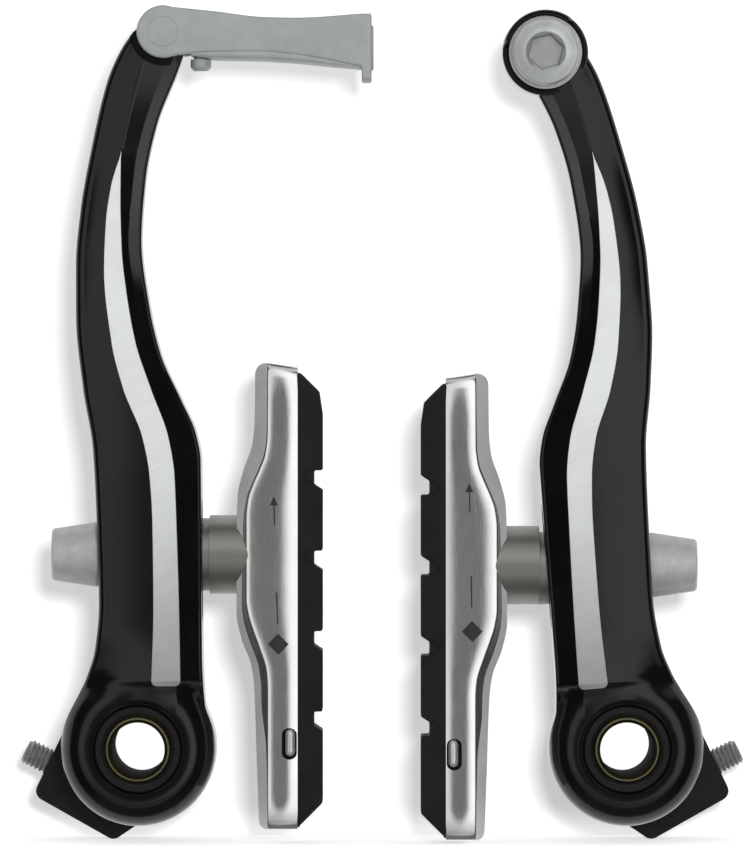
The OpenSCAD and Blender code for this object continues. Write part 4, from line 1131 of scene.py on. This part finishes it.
@dataclass
class PivotGear:
    """What stands behind a hub: the threaded screw in the holder's wedge, and the return spring."""

    layout: Layout
    rise: float = 25.8
    reach: float = 15.4
    tip: float = 5.86
    screw_y: float = 8.45
    screw_r: float = 2.0
    pitch: float = 0.7
    thread: float = 0.32
    screw_w: float = 4.2
    coil_r: float = 7.55
    wire_r: float = 0.9
    leg_w: float = 8.0
    turns: float = 2.3217

    def place(self, p: Array) -> Array:
        """Points that don't lean with the arm, to metres in the shared frame."""
        return self.layout.world(p, leaning=False)

    def screw_frame(self, x: Array, y: Array, w: Array) -> Array:
        """Points of the screw's frame, x outwards along it and y square to it downwards."""
        a = math.radians(self.rise)
        return np.stack([-x * math.cos(a) - y * math.sin(a), w, x * math.sin(a) - y * math.cos(a)], -1)

    def screw(self) -> Object:
        """The tension screw: a rod whose radius drops by a triangle wave of the helix angle.

        The wave's phase is the length over the pitch less the angle over a turn, and it fades
        into a chamfer at the outer end.
        """
        n = 40
        s = np.linspace(self.tip, self.reach, 130)[:, None]
        a = np.linspace(0, 2 * math.pi, n, endpoint=False)[None, :]
        phase = (s / self.pitch - a / (2 * math.pi)) % 1
        wave = np.clip(np.abs(2 * phase - 1) * 1.25 - 0.12, 0, 1)
        end = np.clip((s - self.reach + 0.45) / 0.45, 0, 1)
        r = (self.screw_r - self.thread * wave) * (1 - end) + (self.screw_r - 0.42) * end
        x, y, w = s + 0 * a, self.screw_y + r * np.cos(a), self.screw_w + r * np.sin(a)
        obj = loft(self.place(self.screw_frame(x, y, w)), f"{self.layout.side.word}_threaded_screw")
        b = np.radians(np.arange(0, 360, 60))
        hexagon = [
            self.screw_frame(np.full(6, at), self.screw_y + 1.15 * np.cos(b), self.screw_w + 1.15 * np.sin(b))
            for at in (self.reach - 1.6, self.reach + 1)
        ]
        combine(obj, [loft(self.place(np.stack(hexagon)), "tool")], "DIFFERENCE")
        dress(obj, SCREW_AND_SOCKET_SHADE)
        word = self.layout.side.word
        stand_for(obj, f"{word}_tension_screw", f"{word}_tension_screw")
        return obj

    def spring(self) -> Object:
        """The return spring: a tube of round wire along its straight tail, coil and leg."""
        lean = self.layout.lean
        turn = np.radians(np.linspace(-360 * self.turns, -lean, 150))
        drop = (2 * self.wire_r + 0.1) / (2 * math.pi)
        coil = np.stack([self.coil_r * np.cos(turn), self.leg_w + drop * turn, self.coil_r * np.sin(turn)], -1)
        a = math.radians(self.rise)
        tail = coil[0] + np.linspace(self.tip - 0.35, 0.4, 8)[:, None] * np.array([-math.cos(a), 0, math.sin(a)])
        z = np.linspace(2, 46, 24)
        leg_u = Curve(((2, self.coil_r), (8, self.coil_r), (26, self.coil_r - 0.17), (43, self.coil_r - 0.35)))(z)
        b = math.radians(lean)
        leg = np.stack([leg_u * math.cos(b) + z * math.sin(b), np.full_like(z, coil[-1, 1]), z * math.cos(b) - leg_u * math.sin(b)], -1)
        path = np.concatenate([tail, coil, leg])
        along = np.gradient(path, axis=0)
        along /= np.linalg.norm(along, axis=1, keepdims=True)
        side = np.cross(along, [0, 1, 0])
        side /= np.linalg.norm(side, axis=1, keepdims=True)
        lift = np.cross(along, side)
        t = np.linspace(0, 2 * math.pi, 14, endpoint=False)[None, :, None]
        rings = path[:, None] + self.wire_r * (np.cos(t) * side[:, None] + np.sin(t) * lift[:, None])
        word = self.layout.side.word
        obj = bake(loft(self.place(rings), f"{word}_spring_wire"), 50)
        dress(obj, SPRING)
        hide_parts(f"{word}_return_spring")
        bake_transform(obj)
        return obj

    def build(self) -> list[Object]:
        """Screw and spring."""
        return [self.screw(), self.spring()]


@dataclass
class Dressing:
    """Finishes for the CAD nodes that stay as they are."""

    left: Layout
    right: Layout

    def build(self) -> None:
        """Gives each remaining node its finish by the words in its name."""
        by_word = {
            "pivot_bush": BUSH, "bearing_sleeve": PLASTIC, "spring_holder": PLASTIC,
            "locating_pin": SPRING, "spring_peg": SPRING, "pad_pin": ZINC_PIN, "shoe_stud": NICKEL,
            "dome": SINTERED, "cup": SINTERED, "flat_washer": NICKEL, "shoe_nut": PLATED_NUT,
            "link_pin": CAST, "link_stop": CAST, "anchor_washer": ZINC_PIN,
        }
        for name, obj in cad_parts.items():
            finish = next((f for word, f in by_word.items() if word in name), None)
            if finish and not obj.hide_render:
                dress(obj, finish)
                log.info("%s wears %s", name, finish.name)


@dataclass
class Studio:
    """Camera, lamps, floor and backdrop."""

    distance: float = 1.2
    centre: tuple[float, float] = (-0.0011, 0.0481)
    front: float = 0.0246
    frame_height: float = 0.1273
    floor_z: float = -0.0142
    wall_y: float = 0.0048

    def camera(self) -> None:
        """A long lens straight on to the front, with the photograph's frame at its distance."""
        data = bpy.data.cameras.new("camera")
        data.sensor_width = 36.0
        data.lens = 36.0 * self.distance / self.frame_height
        data.clip_start, data.clip_end = 0.05, 20.0
        obj = bpy.data.objects.new("camera", data)
        obj.location = (self.centre[0], -self.distance - self.front, self.centre[1])
        obj.rotation_euler = (math.radians(90), 0, 0)
        bpy.context.scene.collection.objects.link(obj)
        bpy.context.scene.camera = obj

    def lamp(self, name: str, at: Colour, size: float, watts: float, glossy: bool) -> None:
        """A square soft lamp that looks at the object.

        Args:
            name: the lamp's name.
            at: its place in metres.
            size: its side in metres.
            watts: its power.
            glossy: True if reflections show it.
        """
        data = bpy.data.lights.new(name, "AREA")
        data.size, data.energy = size, watts
        obj = bpy.data.objects.new(name, data)
        target = Vector((0, 0, self.centre[1]))
        obj.location = at
        obj.rotation_euler = (target - Vector(at)).to_track_quat("-Z", "Y").to_euler()
        obj.visible_glossy = glossy
        bpy.context.scene.collection.objects.link(obj)

    def world(self) -> None:
        """White behind the object, and a room that reflections show.

        By the angle from a direction just left of the viewer: grey in the middle, then a wide
        ring that is brighter on the right and dimmer below, then dark, and it rises to white behind. A panel
        above and a little light from below are added.
        """
        world = bpy.data.worlds.new("studio")
        bpy.context.scene.world = world
        world.use_nodes = True
        g = Graph(world.node_tree)
        path = g.node("LightPath").outputs
        place = g.node("TexCoord").outputs["Generated"]
        way = g.node("SeparateXYZ", {0: place}).outputs
        near = g.node("VectorMath", {0: place, 1: (-0.05, -0.99875, 0.0)}, operation="DOT_PRODUCT").outputs["Value"]
        off = g.math("ARCCOSINE", near)
        ring = g.math("MULTIPLY", g.step(off, 0.15, 0.36, 0.0, 1.0), g.step(off, 0.67, 0.87, 1.0, 0.0))
        ring = g.math("MULTIPLY", ring, g.step(way[0], -0.25, 0.25, 0.85, 1.25))
        ring = g.math("MULTIPLY", ring, g.step(way[2], -0.45, -0.15, 0.40, 1.0))
        middle = g.step(off, 0.45, 0.70, 0.13, 0.0)
        over = g.step(g.math("ABSOLUTE", g.math("SUBTRACT", way[2], 0.80)), 0.06, 0.18, 0.6, 0.0)
        low = g.step(way[2], -0.85, -0.45, 0.12, 0.0)
        room = g.math("ADD", g.math("MAXIMUM", ring, middle), g.math("ADD", 0.012, g.math("ADD", over, low)))
        shine = g.math("MAXIMUM", room, g.step(way[1], -0.06, 0.12, 0.0, 1.0))
        fill = g.step(way[2], -1.0, 1.0, 0.36, 0.50)
        seen = g.math("MAXIMUM", path["Is Camera Ray"], path["Is Transmission Ray"])
        level = g.math("ADD", g.math("MULTIPLY", path["Is Glossy Ray"], shine),
                       g.math("MULTIPLY", g.math("SUBTRACT", 1.0, path["Is Glossy Ray"]), fill))
        level = g.math("MAXIMUM", g.math("MULTIPLY", g.math("SUBTRACT", 1.0, seen), level), seen)
        ground = g.node("Background", {"Color": level, "Strength": 1.0})
        g.node("OutputWorld", {"Surface": ground.outputs[0]})

    def white(self, name: str, lift: float, reach: tuple[float, float], one_sided: bool) -> bpy.types.Material:
        """A white matt surface that fades out away from the object, and behind the pivots' bores.

        Args:
            name: the material's name.
            lift: light added for camera rays, which rises to the floor's at the floor.
            reach: distances in metres between which it fades.
            one_sided: True if it isn't there from behind.

        Returns:
            The material.
        """
        material = bpy.data.materials.new(name)
        material.use_nodes = True
        g = Graph(material.node_tree)
        path = g.node("LightPath").outputs
        matt = g.node("BsdfDiffuse", {"Color": (0.86, 0.86, 0.86, 1.0)}).outputs[0]
        at = g.node("SeparateXYZ", {0: g.node("TexCoord").outputs["Object"]}).outputs
        level = g.step(at[2], self.floor_z, self.floor_z + 0.005, 0.62, lift)
        glow = g.node("Emission", {"Strength": g.math("MULTIPLY", path["Is Camera Ray"], level)}).outputs[0]
        both = g.node("AddShader", {0: matt, 1: glow}).outputs[0]
        away = g.node("VectorMath", {0: g.node("TexCoord").outputs["Object"]}, operation="LENGTH").outputs["Value"]
        gone = g.step(away, reach[0], reach[1], 0.0, 1.0)
        x = g.math("SUBTRACT", g.math("ABSOLUTE", at[0]), SPACING / 2 * MM)
        axis = g.math("SQRT", g.math("ADD", g.math("MULTIPLY", x, x), g.math("MULTIPLY", at[2], at[2])))
        gone = g.math("MAXIMUM", gone, g.step(axis, 0.006, 0.008, 1.0, 0.0))
        if one_sided:
            gone = g.math("MAXIMUM", gone, g.node("NewGeometry").outputs["Backfacing"])
        clear = g.node("BsdfTransparent").outputs[0]
        mixed = g.node("MixShader", {0: gone, 1: both, 2: clear})
        g.node("OutputMaterial", {"Surface": mixed.outputs[0]})
        return material

    def sheet(self, name: str, corners: Array, material: bpy.types.Material) -> Object:
        """A flat staged surface through four corners, facing by their order."""
        mesh = bpy.data.meshes.new(name)
        mesh.from_pydata(corners.tolist(), [], [[0, 1, 2, 3]])
        mesh.materials.append(material)
        obj = bpy.data.objects.new(name, mesh)
        bpy.context.scene.collection.objects.link(obj)
        return obj

    def stage(self) -> None:
        """A pale floor under the object, and a pale sheet close behind it for its soft shadow."""
        r, z, y = 1.2, self.floor_z, self.wall_y
        floor = self.white("pale_floor", 0.62, (0.35, 0.9), False)
        ground = self.sheet("floor", np.array([(-r, -r, z), (r, -r, z), (r, r, z), (-r, r, z)]), floor)
        ground.visible_glossy = False
        sheet = self.white("pale_sheet", 0.37, (0.16, 0.30), True)
        wall = self.sheet("sheet", np.array([(-r, y, z), (r, y, z), (r, y, r), (-r, y, r)]), sheet)
        wall.visible_diffuse = wall.visible_glossy = wall.visible_transmission = wall.visible_shadow = False

    def build(self) -> None:
        """Everything round the object, at a plain level of light."""
        self.camera()
        self.world()
        self.stage()
        self.lamp("key", (0.10, -1.1, 0.17), 0.13, 7.2, False)
        view = bpy.context.scene.view_settings
        view.view_transform = "Standard"


def main() -> None:
    """Builds the studio and every piece."""
    logging.basicConfig(level=logging.INFO, format="%(name)s: %(message)s")
    left = Layout(Side.LEFT, 0.0, 29.0, 11.95, 1, (8.7, -5.6, -13.3), 0.03)
    right = Layout(Side.RIGHT, 4.9, 27.9, 12.75, -1, (12.3, -1.5, -9.8), -0.02)
    Studio().build()
    for layout in (left, right):
        Arm(layout, layout.side is Side.LEFT).build()
        Pad(layout).build()
        PivotGear(layout).build()
    CableLink(left).build()
    AnchorBolt(right).build()
    Dressing(left, right).build()


if __name__ == "__main__":
    main()
